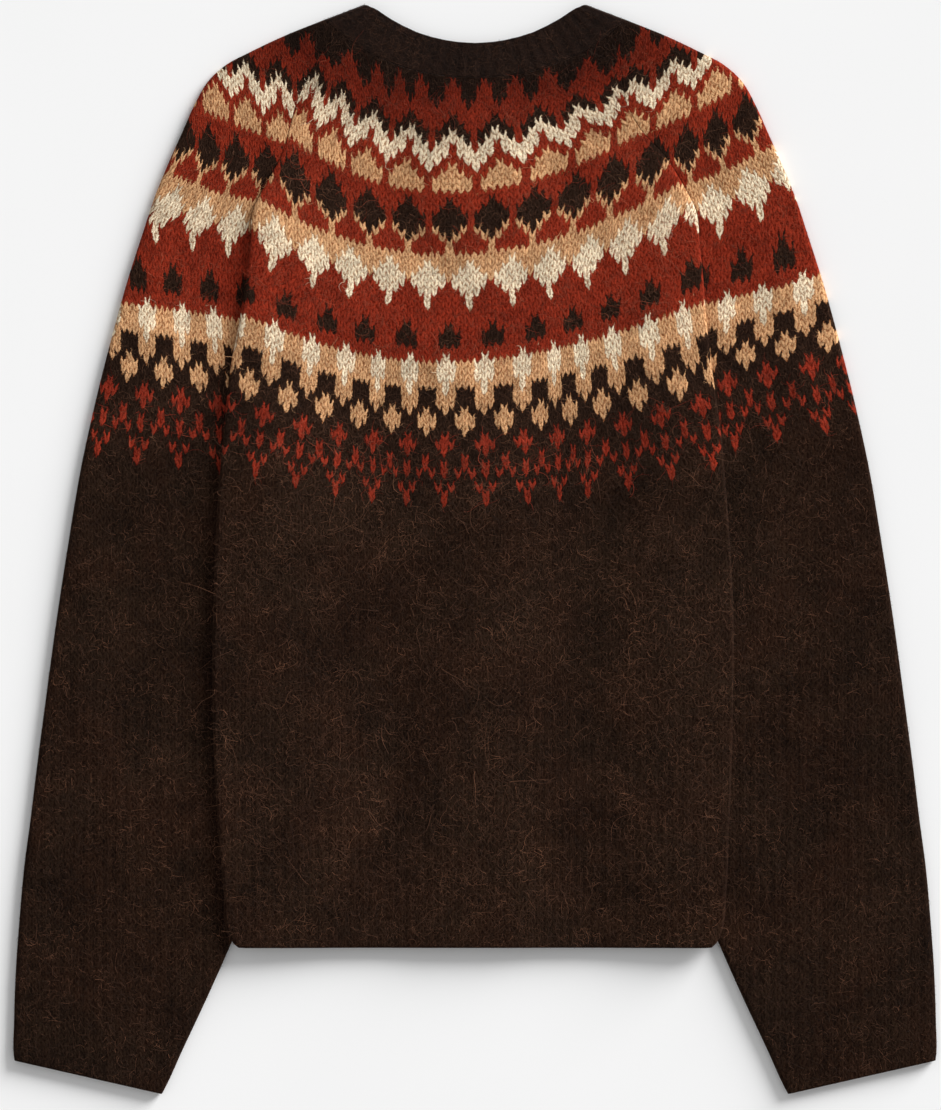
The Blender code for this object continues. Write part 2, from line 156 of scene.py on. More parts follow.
# Sections of a sleeve, neck to cuff: back y, front y, outer fold's distance out and y.
SLEEVE = (
    (345.7, 316.0, 100.7, 353.2), (325.0, 299.0, 127.5, 342.4),
    (299.0, 282.0, 151.5, 331.0), (280.0, 265.0, 166.0, 323.3),
    (262.0, 250.0, 178.5, 311.8), (243.0, 235.0, 187.5, 296.0),
    (224.5, 220.0, 196.0, 277.0), (205.8, 205.8, 205.0, 256.8),
    (185.0, 185.0, 213.5, 236.0), (160.0, 160.0, 222.3, 209.5),
    (130.0, 130.0, 232.5, 177.5), (95.0, 95.0, 242.5, 141.5), (55.0, 55.0, 253.5, 98.0),
    (10.0, 10.0, 263.3, 53.0), (-34.2, -34.2, 272.0, 1.0), (-80.0, -80.0, 279.8, -50.0),
    (-125.0, -125.0, 286.7, -101.0), (-165.0, -165.0, 292.5, -145.0),
    (-200.0, -200.0, 297.0, -182.0), (-232.0, -232.0, 301.0, -212.0),
    (-263.5, -263.5, 304.0, -245.0), (-300.9, -300.9, 306.8, -285.0),
    (-335.0, -335.0, 307.9, -318.0), (-359.5, -359.5, 308.1, -337.5),
    (-364.0, -364.0, 307.6, -341.6),
)
# Neckband, centre back to the fold: free edge's out and y, seamed edge's out and y.
NECK_BACK = (
    (0.0, 337.5, 0.0, 314.5), (11.5, 338.2, 14.3, 315.0), (20.0, 339.5, 25.0, 316.1),
    (29.5, 341.7, 37.0, 318.2), (38.5, 344.6, 48.0, 321.2), (48.0, 349.0, 60.0, 325.8),
    (56.5, 353.7, 71.0, 330.8), (63.5, 358.4, 82.1, 337.6), (68.3, 361.4, 92.0, 345.7),
)
NECK_FOLD = (73.3, 364.2, 100.7, 353.2)
# Neckband, fold to the button band: free edge's out and y, seamed edge's out and y.
NECK_FRONT = (
    (70.5, 346.0, 93.0, 336.0), (63.4, 325.8, 84.0, 316.0), (55.2, 310.1, 74.2, 297.5),
    (42.8, 294.5, 59.5, 279.0), (31.8, 284.5, 45.0, 266.0), (20.0, 278.2, 29.0, 257.2),
    (14.3, 275.6, 14.3, 252.8),
)


def smoothstep(t: Array | float) -> Array:
    """0 below 0, 1 above 1, and smooth between."""
    t = np.clip(t, 0.0, 1.0)
    return t * t * (3.0 - 2.0 * t)


class Curve:
    """A smooth curve through rows of a table, the same as the solids' edges follow."""

    def __init__(self, table: Sequence[Sequence[float]], knot: int, value: int) -> None:
        """Reads two columns of a table in millimetres.

        Args:
            table: The rows.
            knot: Column of the place along the curve.
            value: Column of the value there.
        """
        rows = np.array([(row[knot], row[value]) for row in table], float) * MM
        rows = rows[np.argsort(rows[:, 0])]
        self.knots, self.values = rows.T
        gaps = np.diff(self.knots)
        slopes = np.diff(self.values) / gaps
        self.tangents = np.empty_like(self.knots)
        self.tangents[0], self.tangents[-1] = slopes[0], slopes[-1]
        blend = slopes[:-1] * gaps[1:] + slopes[1:] * gaps[:-1]
        self.tangents[1:-1] = blend / (gaps[:-1] + gaps[1:])

    def __call__(self, at: Array | float) -> Array:
        """Values of the curve at some places, held at its ends."""
        at = np.clip(at, self.knots[0], self.knots[-1])
        i = np.clip(np.searchsorted(self.knots, at, side="right") - 1, 0, len(self.knots) - 2)
        span = self.knots[i + 1] - self.knots[i]
        t = (at - self.knots[i]) / span
        low = (1.0 + 2.0 * t) * (1.0 - t) ** 2 * self.values[i]
        high = t * t * (3.0 - 2.0 * t) * self.values[i + 1]
        leave = t * (1.0 - t) ** 2 * self.tangents[i]
        arrive = t * t * (1.0 - t) * self.tangents[i + 1]
        return low + high + span * (leave - arrive)


@dataclass(frozen=True)
class Lay:
    """Where each layer of the laid garment lies, in metres."""

    right_rise: float = 2.7 * MM
    left_rise: float = 5.4 * MM
    back_rise: float = 4.5 * MM
    opening: float = 14.3 * MM
    front_foot: float = 45.0 * MM
    back_foot: float = 60.0 * MM
    neck_flat_y: float = 276.0 * MM
    neck_foot_y: float = 312.0 * MM
    underarm_y: float = 205.8 * MM
    flush_y: float = 290.0 * MM
    front_unroll_y: float = 220.0 * MM
    front_ramp: float = 22.0 * MM
    back_ramp: float = 80.0 * MM
    puff: float = 2.5 * MM
    puff_low_y: float = 150.0 * MM
    puff_top_y: float = 270.0 * MM
    ramp_clearance: float = 1.5 * MM
    ramp_edge: float = 4.4 * MM
    sleeve_roll_y: float = 165.0 * MM
    sleeve_inner: Curve = field(default_factory=lambda: Curve(SLEEVE_INNER, 0, 1))

    def body_edge(self, y: Array, side: Side) -> Array:
        """Distance out of the back's edge: side seam below the underarm, raglan above."""
        low = Curve(BODY_EDGE, 0, side.column)(y)
        high = Curve(RAGLAN_BACK, 0, side.column)(y)
        return np.where(y <= self.underarm_y, low, high)

    def on_sleeve(self, out: Array, y: Array, side: Side, ramp: float) -> Array:
        """0 clear of the sleeve, 1 on top of it."""
        limit = self.body_edge(y, side) - self.ramp_edge
        over = np.minimum(limit, self.sleeve_inner(y) - self.ramp_clearance)
        top = np.where(y > self.underarm_y, limit, over)
        return smoothstep((out - top) / ramp + 1.0)

    def on_bands(self, out: Array, foot: float) -> Array:
        """1 over the button bands, 0 clear of them."""
        return 1.0 - smoothstep((out - self.opening) / (foot - self.opening))

    def overlap(self, y: Array) -> Array:
        """How far the body has climbed onto the sleeve."""
        return 1.0 - smoothstep((y - self.underarm_y) / (self.flush_y - self.underarm_y))

    def back(self, out: Array, y: Array, side: Side) -> Array:
        """Height of the back over the level of the sleeves."""
        span = self.puff_top_y - self.puff_low_y
        puff = self.puff * (1.0 - smoothstep((y - self.puff_low_y) / span))
        climb = CLOTH.lift * self.overlap(y) - puff
        past = 1.0 - smoothstep((y - self.neck_flat_y) / (self.neck_foot_y - self.neck_flat_y))
        ridge = self.back_rise * past - puff
        on_sleeve = self.on_sleeve(out, y, side, self.back_ramp)
        return puff + climb * on_sleeve + ridge * self.on_bands(out, self.back_foot)

    def front(self, out: Array, y: Array, side: Side) -> Array:
        """Height of a front's lower face over the floor."""
        level = self.left_rise if side is Side.LEFT else self.right_rise
        climb = CLOTH.lift * self.overlap(y) * self.on_sleeve(out, y, side, self.front_ramp)
        return climb + level * self.on_bands(out, self.front_foot)


LAY = Lay()


# ---- where the knitting's rows and motifs run ------------------------------------------
REPEAT = 6.0  # stitches from one motif to the next
LEG = 0.9     # rows that a stitch's legs rise from its middle


@dataclass(frozen=True)
class Course:
    """One row of the knitting: its number and its height at each station across."""

    row: float
    heights: tuple[float, ...]


@dataclass(frozen=True)
class Motifs:
    """Where the motifs of one row are centred, counted up from the first."""

    row: float
    first: float
    centres: tuple[float, ...]

    def count_at(self, x: Array) -> Array:
        """Which motif lies at each place, with the part of it passed."""
        centres = np.array(self.centres)
        counts = self.first + np.arange(len(centres))
        found = np.interp(x, centres, counts)
        start = (x - centres[0]) / (centres[1] - centres[0]) + counts[0]
        end = (x - centres[-1]) / (centres[-1] - centres[-2]) + counts[-1]
        found = np.where(x < centres[0], start, found)
        return np.where(x > centres[-1], end, found)


@dataclass(frozen=True)
class Band:
    """Rows that share their stitches, from one decrease round to the next."""

    start: float
    motifs: tuple[Motifs, ...]

    def count_at(self, x: Array, rows: Array) -> Array:
        """Which motif lies at each point, with the part of it passed."""
        found = self.motifs[0].count_at(x)
        for upper, lower in zip(self.motifs, self.motifs[1:]):
            share = np.clip((rows - upper.row) / (lower.row - upper.row), 0.0, 1.0)
            found = np.where(
                rows > upper.row, found * (1.0 - share) + lower.count_at(x) * share, found,
            )
        return found


@dataclass(frozen=True)
class Knitting:
    """How rows, stitches and motifs run over a piece, as tables in millimetres."""

    stations: tuple[float, ...]
    courses: tuple[Course, ...]
    bands: tuple[Band, ...]
    row_height: float = 4.8

    def rows_at(self, x: Array, y: Array) -> Array:
        """Row number at each point, growing from the neck down."""
        heights = [np.interp(x, self.stations, course.heights) for course in self.courses]
        numbers = [course.row for course in self.courses]
        rows = numbers[0] - (y - heights[0]) / self.row_height
        for k in range(len(numbers) - 1):
            share = (heights[k] - y) / (heights[k] - heights[k + 1])
            between = numbers[k] + share * (numbers[k + 1] - numbers[k])
            rows = np.where(y < heights[k], between, rows)
        below = numbers[-1] + (heights[-1] - y) / self.row_height
        return np.where(y < heights[-1], below, rows)

    def lay_over(self, points: Array, quads: Array) -> Array:
        """Stitch and row numbers at the corners of a piece's faces.

        Args:
            points: The piece's points, in metres.
            quads: Each face's four points by number.

        Returns:
            A pair of numbers for each corner. The stitches of a face are all of one band.
        """
        x, y = points[:, 0] / MM, points[:, 1] / MM
        rows = self.rows_at(x, y)
        corner_rows = rows[quads]
        corner_x = x[quads]
        middle = corner_rows.mean(axis=1)
        counts = self.bands[0].count_at(corner_x, corner_rows)
        for band in self.bands[1:]:
            below = middle >= band.start
            counts[below] = band.count_at(corner_x[below], corner_rows[below])
        return np.stack((REPEAT * counts + 0.5, corner_rows), axis=2).reshape(-1, 2)


COLUMNS = (
    -146.0, -120.0, -97.3, -74.0, -54.7, -32.0,
    -6.7, 19.3, 44.0, 61.0, 80.0, 102.0, 128.0, 148.0,
)
LOZENGES = (
    -150.7, -124.7, -100.7, -77.3, -55.3, -32.7,
    -6.7, 19.3, 44.0, 63.3, 84.7, 109.0, 136.0, 159.3,
)
BACK_KNITTING = Knitting(
    stations=(-175.0, -150.0, -110.0, -70.0, -35.0, 0.0, 35.0, 70.0, 110.0, 150.0, 175.0),
    courses=(
        Course(0.0, (392.0, 374.0, 345.5, 324.9, 315.5, 313.1, 316.7, 325.3, 339.9, 358.0, 371.0)),
        Course(7.0, (366.0, 350.0, 320.3, 292.5, 280.6, 278.5, 284.5, 297.0, 316.8, 338.0, 351.0)),
        Course(13.6, (332.0, 313.0, 279.9, 258.3, 249.6, 249.2, 256.0, 268.9, 289.5, 312.0, 327.0)),
        Course(20.0, (281.0, 264.6, 239.5, 224.4, 218.7, 219.4, 225.6, 236.8, 254.9, 277.5, 291.0)),
        Course(33.6, (198.0, 187.6, 172.8, 162.8, 158.2, 157.6, 161.3, 169.4, 184.3, 205.5, 220.0)),
        Course(36.3, (183.2, 173.0, 156.4, 146.3, 142.5, 143.0, 147.5, 155.6, 168.9, 186.2, 198.2)),
        Course(39.0, (169.0, 159.0, 142.9, 132.8, 129.0, 129.5, 134.0, 142.1, 154.0, 168.5, 178.0)),
        Course(51.0, (106.0, 99.2, 87.0, 79.4, 76.3, 76.2, 78.9, 83.9, 92.3, 103.2, 111.0)),
        Course(61.0, (56.0, 50.0, 39.2, 32.3, 29.3, 28.8, 30.7, 34.8, 42.0, 51.5, 57.0)),
        Course(122.0, (-266.2,) * 11),
    ),
    bands=(
        Band(-99.0, (
            Motifs(0.0, -5.0, (-107.3, -83.3, -64.7, -50.0, -36.7, -14.7, 6.0, 26.7, 48.0, 74.7)),
        )),
        Band(4.5, (
            Motifs(7.0, -4.0, (-105.3, -87.7, -67.3, -42.0, -14.7, 13.3, 42.0, 67.3, 92.7)),
            Motifs(14.0, -4.0, (-117.0, -96.0, -73.0, -47.3, -15.3, 17.3, 50.0, 79.3, 106.0)),
        )),
        Band(16.5, (
            Motifs(20.0, -4.0, (
                -120.0, -96.0, -70.7, -44.7, -16.7, 11.3, 39.3, 67.3, 91.3, 119.3,
            )),
            Motifs(31.0, -4.5, (
                -134.0, -106.7, -82.7, -57.3, -32.0, -4.0, 24.7, 48.7, 74.7, 99.3, 124.7, 148.0,
            )),
            Motifs(36.0, -4.0, (
                -126.0, -98.0, -74.0, -46.0, -17.3, 12.0, 40.7, 65.3, 90.0, 116.7, 144.0,
            )),
        )),
        Band(38.5, (
            Motifs(40.0, -5.5, COLUMNS),
            Motifs(49.5, -5.5, LOZENGES),
            Motifs(53.0, -5.0, (
                -141.3, -115.3, -90.7, -68.0, -45.3, -20.7,
                7.3, 33.3, 55.3, 74.7, 99.3, 124.0, 151.3,
            )),
            Motifs(61.0, -5.0, (
                -146.7, -120.0, -93.3, -68.7, -46.0, -20.7,
                7.3, 35.3, 56.7, 75.3, 102.7, 131.3, 159.3,
            )),
        )),
    ),
)


def frontwards(knitting: Knitting, drop: float) -> Knitting:
    """The back's knitting carried round to the fronts, where the neck is deeper.

    Args:
        knitting: The back's rows and motifs.
        drop: How much lower the rows lie in the middle of the front, in millimetres.

    Returns:
        The fronts' rows and motifs.
    """
    sag = [drop * max(0.0, 1.0 - (x / 150.0) ** 2) for x in knitting.stations]
    courses = [
        Course(course.row, tuple(h - d for h, d in zip(course.heights, sag)))
        for course in knitting.courses[:-1]
    ]
    return Knitting(knitting.stations, (*courses, knitting.courses[-1]), knitting.bands)


FRONT_KNITTING = frontwards(BACK_KNITTING, 48.0)

LEFT_SLEEVE_KNITTING = Knitting(
    stations=(-320.0, -260.0, -230.0, -200.0, -170.0, -140.0, -110.0, -80.0),
    courses=(
        Course(0.0, (438.0, 408.0, 393.0, 378.0, 365.0, 354.0, 343.0, 330.0)),
        Course(7.0, (402.0, 372.0, 357.0, 343.0, 330.0, 320.5, 311.0, 300.0)),
        Course(13.6, (375.0, 344.0, 330.0, 316.5, 303.0, 286.8, 275.0, 266.0)),
        Course(20.0, (325.0, 303.0, 291.0, 278.0, 262.0, 255.0, 250.0, 245.0)),
        Course(33.6, (224.0, 211.0, 205.0, 198.6, 193.6, 189.0, 184.0, 180.0)),
        Course(36.3, (204.5, 192.5, 186.5, 181.2, 176.0, 171.5, 166.5, 162.5)),
        Course(38.7, (182.0, 173.0, 169.0, 165.8, 161.0, 155.0, 150.0, 146.0)),
        Course(51.0, (127.0, 117.5, 112.5, 107.3, 102.8, 98.0, 94.0, 90.0)),
        Course(61.0, (76.0, 64.5, 57.5, 54.5, 51.0, 47.0, 43.0, 40.0)),
        Course(144.0, (-340.0, -352.8, -359.6, -366.4, -373.2, -380.0, -387.0, -394.0)),
    ),
    bands=(
        Band(-99.0, (
            Motifs(0.0, -8.0, (-172.0, -152.0, -132.0, -112.0, -92.0)),
        )),
        Band(4.5, (
            Motifs(7.0, -7.0, (-176.0, -153.0, -131.3, -110.0)),
            Motifs(13.0, -7.0, (-173.0, -152.0, -130.0, -108.0)),
        )),
        Band(16.5, (
            Motifs(20.0, -8.0, (-192.7, -178.0, -159.3, -138.7)),
            Motifs(31.0, -7.5, (-213.3, -188.3, -164.7, -141.0)),
            Motifs(37.4, -8.0, (-224.7, -202.0, -177.3, -153.0)),
        )),
        Band(38.5, (
            Motifs(40.0, -8.0, (-218.7, -195.3, -174.7, -152.0)),
            Motifs(49.5, -8.5, (-230.7, -208.0, -184.0, -160.0)),
            Motifs(53.0, -9.0, (-245.3, -221.3, -196.7, -171.3)),
            Motifs(61.0, -9.0, (-252.7, -226.7, -198.0, -170.0)),
        )),
    ),
)
RIGHT_SLEEVE_KNITTING = Knitting(
    stations=(80.0, 110.0, 140.0, 170.0, 200.0, 230.0, 260.0, 320.0),
    courses=(
        Course(0.0, (330.0, 348.0, 364.0, 378.0, 392.0, 407.0, 422.0, 450.0)),
        Course(7.0, (300.0, 316.0, 330.0, 345.0, 360.0, 376.0, 392.0, 422.0)),
        Course(13.6, (270.0, 287.0, 302.0, 318.0, 335.0, 352.0, 369.0, 400.0)),
        Course(20.0, (243.0, 255.0, 267.0, 281.0, 299.0, 318.0, 336.0, 370.0)),
        Course(33.6, (186.0, 192.0, 199.0, 207.5, 220.0, 236.0, 250.0, 276.0)),
        Course(36.3, (168.0, 175.0, 182.0, 189.2, 196.5, 206.0, 217.0, 240.0)),
        Course(38.7, (153.0, 159.0, 166.0, 173.0, 179.6, 189.5, 200.0, 220.0)),
        Course(51.0, (96.0, 104.0, 111.0, 118.0, 125.4, 130.5, 136.0, 148.0)),
        Course(61.0, (47.0, 53.5, 60.0, 66.3, 72.0, 76.5, 82.0, 94.0)),
        Course(144.0, (-394.0, -387.0, -380.0, -373.2, -366.4, -359.6, -352.8, -340.0)),
    ),
    bands=(
        Band(-99.0, (
            Motifs(0.0, 5.0, (92.0, 112.0, 132.0, 152.0, 172.0)),
        )),
        Band(4.5, (
            Motifs(7.0, 5.0, (105.0, 132.4, 160.0, 187.0)),
            Motifs(13.0, 5.0, (105.0, 132.4, 160.0, 187.0)),
        )),
        Band(16.5, (
            Motifs(20.0, 6.0, (140.7, 160.0, 180.0, 200.0)),
            Motifs(31.0, 6.5, (163.3, 190.0, 214.0)),
            Motifs(37.4, 7.0, (178.0, 206.7, 235.0)),
        )),
        Band(38.5, (
            Motifs(40.0, 7.0, (168.0, 191.3, 218.7)),
            Motifs(49.5, 7.5, (180.7, 206.7, 236.0)),
            Motifs(53.0, 7.0, (168.7, 194.7, 224.7, 246.0)),
            Motifs(61.0, 7.0, (174.0, 202.0, 235.3, 262.0)),
        )),
    ),
)


# ---- the yoke's chart ------------------------------------------------------------------
class Yarn(Enum):
    """Yarns of the yoke by their letter in the chart, as sRGB colours."""

    BROWN = ("b", (39, 25, 17))
    RUST = ("r", (133, 43, 25))
    CREAM = ("c", (232, 214, 184))
    TAN = ("t", (205, 158, 114))
    LACE = ("l", (136, 45, 29))

    @property
    def letter(self) -> str:
        """The yarn's letter in the chart."""
        return self.value[0]

    @property
    def pale(self) -> bool:
        """Whether it is one of the light yarns, whose stitches stay clear."""
        return self in (Yarn.CREAM, Yarn.TAN)

    @property
    def colour(self) -> tuple[float, float, float, float]:
        """The yarn's colour for a shader."""
        return linear(self.value[1])


def linear(colour: Sequence[float]) -> tuple[float, float, float, float]:
    """An sRGB colour of 0 to 255 as linear red, green, blue and 1."""
    parts = []
    for part in colour:
        share = part / 255.0
        parts.append(share / 12.92 if share <= 0.04045 else ((share + 0.055) / 1.055) ** 2.4)
    return (*parts, 1.0)


# Each row from the neck down, in stitches out from a motif's middle to halfway to the
# next one. Motifs are mirrored and repeated every six stitches.
CHART = (
    "rbbb", "rrbb", "rrbb", "rrrb", "rrrr", "brrr", "bbrr", "cbbr", "ccbr", "rccr",
    "rccc", "rrcc", "trrc", "ttrr", "tttr", "tttr", "rrrr", "brrr", "bbrr", "bbbr",
    "bbbr", "bbtr", "btrr", "trrr", "trrr", "tttt", "tttc", "ttcc", "tccc", "rccc",
    "rrcc", "rrrc", "rrrc", "rrrr", "rrrr", "brrr", "bbrr", "bbrr", "rrrr", "crrr",
    "cctt", "cctt", "cctt", "cttt", "ctbb", "ttbb", "ttbb", "tbbt", "bbtt", "bbtt",
    "bbbt", "lbbb", "llbb", "lbbb", "bbbl", "lbbl", "lblb", "bbbb", "blbb", "lbbb",
    "lbbb",
)
CHART_SPAN = 64.0  # rows that the chart's ramps cover


# ---- shader graphs ---------------------------------------------------------------------
class Wire:
    """A shader value that takes part in sums."""

    def __init__(self, graph: "Graph", socket: bpy.types.NodeSocket) -> None:
        """Wraps one output socket of a graph's node."""
        self.graph = graph
        self.socket = socket

    def _math(self, operation: str, first: object, second: object = 0.0) -> "Wire":
        """One Math node of two values."""
        settings = {"operation": operation}
        return self.graph.node("ShaderNodeMath", settings, {0: first, 1: second}).out("Value")

    def __add__(self, other: object) -> "Wire":
        """self + other."""
        return self._math("ADD", self, other)

    __radd__ = __add__

    def __sub__(self, other: object) -> "Wire":
        """self - other."""
        return self._math("SUBTRACT", self, other)

    def __rsub__(self, other: object) -> "Wire":
        """other - self."""
        return self._math("SUBTRACT", other, self)

    def __mul__(self, other: object) -> "Wire":
        """self * other."""
        return self._math("MULTIPLY", self, other)

    __rmul__ = __mul__

    def __truediv__(self, other: object) -> "Wire":
        """self / other."""
        return self._math("DIVIDE", self, other)

    def __gt__(self, other: object) -> "Wire":
        """1 where self is greater, otherwise 0."""
        return self._math("GREATER_THAN", self, other)

    def floor(self) -> "Wire":
        """The whole number below."""
        return self._math("FLOOR", self)

    def fract(self) -> "Wire":
        """What is left over the whole number below."""
        return self._math("FRACT", self)

    def size(self) -> "Wire":
        """The value without its sign."""
        return self._math("ABSOLUTE", self)

    def power(self, other: object) -> "Wire":
        """self to a power."""
        return self._math("POWER", self, other)

    def most(self, other: object) -> "Wire":
        """The greater of the two."""
        return self._math("MAXIMUM", self, other)

    def span(self, low: float, high: float, start: float = 0.0, end: float = 1.0) -> "Wire":
        """Carries low..high smoothly to start..end."""
        settings = {"interpolation_type": "SMOOTHSTEP"}
        values = {"Value": self, 1: low, 2: high, 3: start, 4: end}
        return self.graph.node("ShaderNodeMapRange", settings, values).out("Result")


class Placed:
    """A node in a graph, read by its outputs' names."""

    def __init__(self, graph: "Graph", node: bpy.types.Node) -> None:
        """Wraps one node."""
        self.graph = graph
        self.node = node

    def out(self, name: str | int) -> Wire:
        """One of the node's outputs that are in use."""
        if isinstance(name, int):
            return Wire(self.graph, self.node.outputs[name])
        found = [s for s in self.node.outputs if s.name == name and s.enabled]
        return Wire(self.graph, found[0])


@dataclass(frozen=True)
class Stops:
    """A ramp's stops, as places from 0 to 1 and colours, and how it goes between them."""

    places: tuple[float, ...]
    colours: tuple[tuple[float, float, float, float], ...]
    constant: bool = False


class Graph:
    """The node tree of one material."""

    def __init__(self, name: str) -> None:
        """Starts a material with only its output node."""
        self.material = bpy.data.materials.new(name)
        self.material.use_nodes = True
        self.tree = self.material.node_tree
        self.tree.nodes.clear()

    def node(
        self, kind: str, settings: dict[str, object] | None = None,
        values: dict[str | int, object] | None = None,
    ) -> Placed:
        """Adds a node.

        Args:
            kind: The node's Blender type.
            settings: Its properties, set first. A Stops value fills a ramp.
            values: Its sockets by name or number, as numbers, tuples or Wires.

        Returns:
            The node.
        """
        made = self.tree.nodes.new(kind)
        for key, value in (settings or {}).items():
            if isinstance(value, Stops):
                self._fill(made.color_ramp, value)
            else:
                setattr(made, key, value)
        for key, value in (values or {}).items():
            self._feed(self._input(made, key), value)
        return Placed(self, made)

    @staticmethod
    def _input(made: bpy.types.Node, key: str | int) -> bpy.types.NodeSocket:
        """The input socket of that number, or the enabled one of that name."""
        if isinstance(key, int):
            return made.inputs[key]
        return [s for s in made.inputs if s.name == key and s.enabled][0]

    @staticmethod
    def _fill(ramp: bpy.types.ColorRamp, stops: Stops) -> None:
        """Sets a ramp's stops."""
        ramp.interpolation = "CONSTANT" if stops.constant else "LINEAR"
        while len(ramp.elements) > 1:
            ramp.elements.remove(ramp.elements[-1])
        ramp.elements[0].position = stops.places[0]
        ramp.elements[0].color = stops.colours[0]
        for place, colour in zip(stops.places[1:], stops.colours[1:]):
            ramp.elements.new(place).color = colour

    def _feed(self, socket: bpy.types.NodeSocket, value: object) -> None:
        """Links or sets one input."""
        if isinstance(value, Placed):
            value = value.out(0)
        if isinstance(value, Wire):
            self.tree.links.new(value.socket, socket)
        elif socket.type == "RGBA" and isinstance(value, tuple) and len(value) == 3:
            socket.default_value = (*value, 1.0)
        elif socket.type == "VECTOR" and isinstance(value, tuple):
            socket.default_value = value[:3]
        else:
            socket.default_value = value

    def ramp(self, factor: Wire, stops: Stops) -> Wire:
        """Colours by a factor."""
        return self.node("ShaderNodeValToRGB", {"color_ramp": stops}, {"Fac": factor}).out("Color")

    def mix(self, share: object, first: object, second: object, blend: str = "MIX") -> Wire:
        """Two colours mixed."""
        settings = {"data_type": "RGBA", "blend_type": blend}
        values = {"Factor": share, "A": first, "B": second}
        return self.node("ShaderNodeMix", settings, values).out("Result")

    def split(self, vector: Wire) -> tuple[Wire, Wire, Wire]:
        """A vector's three parts."""
        made = self.node("ShaderNodeSeparateXYZ", {}, {"Vector": vector})
        return made.out("X"), made.out("Y"), made.out("Z")

    def join(self, x: object, y: object, z: object = 0.0) -> Wire:
        """A vector of three parts."""
        return self.node("ShaderNodeCombineXYZ", {}, {"X": x, "Y": y, "Z": z}).out("Vector")

    def noise(self, vector: Wire, scale: float, detail: float = 2.0, twist: float = 0.0) -> Placed:
        """Soft noise."""
        values = {"Vector": vector, "Scale": scale, "Detail": detail, "Distortion": twist}
        return self.node("ShaderNodeTexNoise", {}, values)

    def place(self) -> Wire:
        """The point in the piece's own space."""
        return self.node("ShaderNodeTexCoord").out("Object")

    def uv(self, name: str) -> Wire:
        """The point on a UV map."""
        return self.node("ShaderNodeUVMap", {"uv_map": name}).out("UV")

    def bump(self, height: Wire, relief: float, strength: float) -> Wire:
        """The normal of a surface with some height."""
        values = {"Strength": strength, "Distance": relief, "Height": height}
        return self.node("ShaderNodeBump", {}, values).out("Normal")

    def finish(self, **values: object) -> bpy.types.Material:
        """Wires a surface to the output, its sockets' names with _ for spaces."""
        inputs = {key.replace("_", " "): value for key, value in values.items()}
        surface = self.node("ShaderNodeBsdfPrincipled", {}, inputs)
        out = self.node("ShaderNodeOutputMaterial")
        self.tree.links.new(surface.node.outputs[0], out.node.inputs["Surface"])
        return self.material


class KnitGraph(Graph):
    """A graph with what the knit, the ribbing and their hairs share."""

    def row_place(self, across: Wire, down: Wire) -> Wire:
        """The place among the rows, each stitch being a V."""
        return down + ((across.fract() - 0.5).size() * 2.0 - 0.5) * LEG

    def scaled(self, colour: object, light: Wire) -> Wire:
        """A colour made lighter or darker."""
        values = {0: colour, "Scale": light}
        return self.node("ShaderNodeVectorMath", {"operation": "SCALE"}, values).out("Vector")

    def patches(self, place: Wire) -> Wire:
        """Broad lighter and darker patches where the nap lies differently, round 0."""
        return self.noise(place, 15.0, 3.0, 0.8).out("Fac") - 0.5

    def level(self, down: Wire, plain: float) -> Wire:
        """How light the rows are: painted shade dims them at the neck, and below the yoke they are
        as stated.
        """
        return down.span(2.0, 13.0, 0.54, 1.0) * down.span(56.0, 68.0, 1.0, plain)

    def charted(self, stitch: Wire, row: Wire) -> Wire:
        """The yarn of a stitch, by its whole number across and down."""
        from_middle = (((stitch + 0.25) / REPEAT + 0.5).fract() - 0.5).size() * REPEAT
        factor = (row + 1.5) / CHART_SPAN
        yarns = {yarn.letter: yarn.colour for yarn in Yarn}
        rows = ("b" * 4, *CHART, "b" * 4)
        found: Wire | None = None
        for column in range(4):
            places, colours = [], []
            for number, text in enumerate(rows):
                if not colours or colours[-1] != yarns[text[column]]:
                    places.append(number / CHART_SPAN)
                    colours.append(yarns[text[column]])
            ramp = self.ramp(factor, Stops(tuple(places), tuple(colours), constant=True))
            found = ramp if found is None else self.mix(from_middle > column - 0.5, found, ramp)
        return found


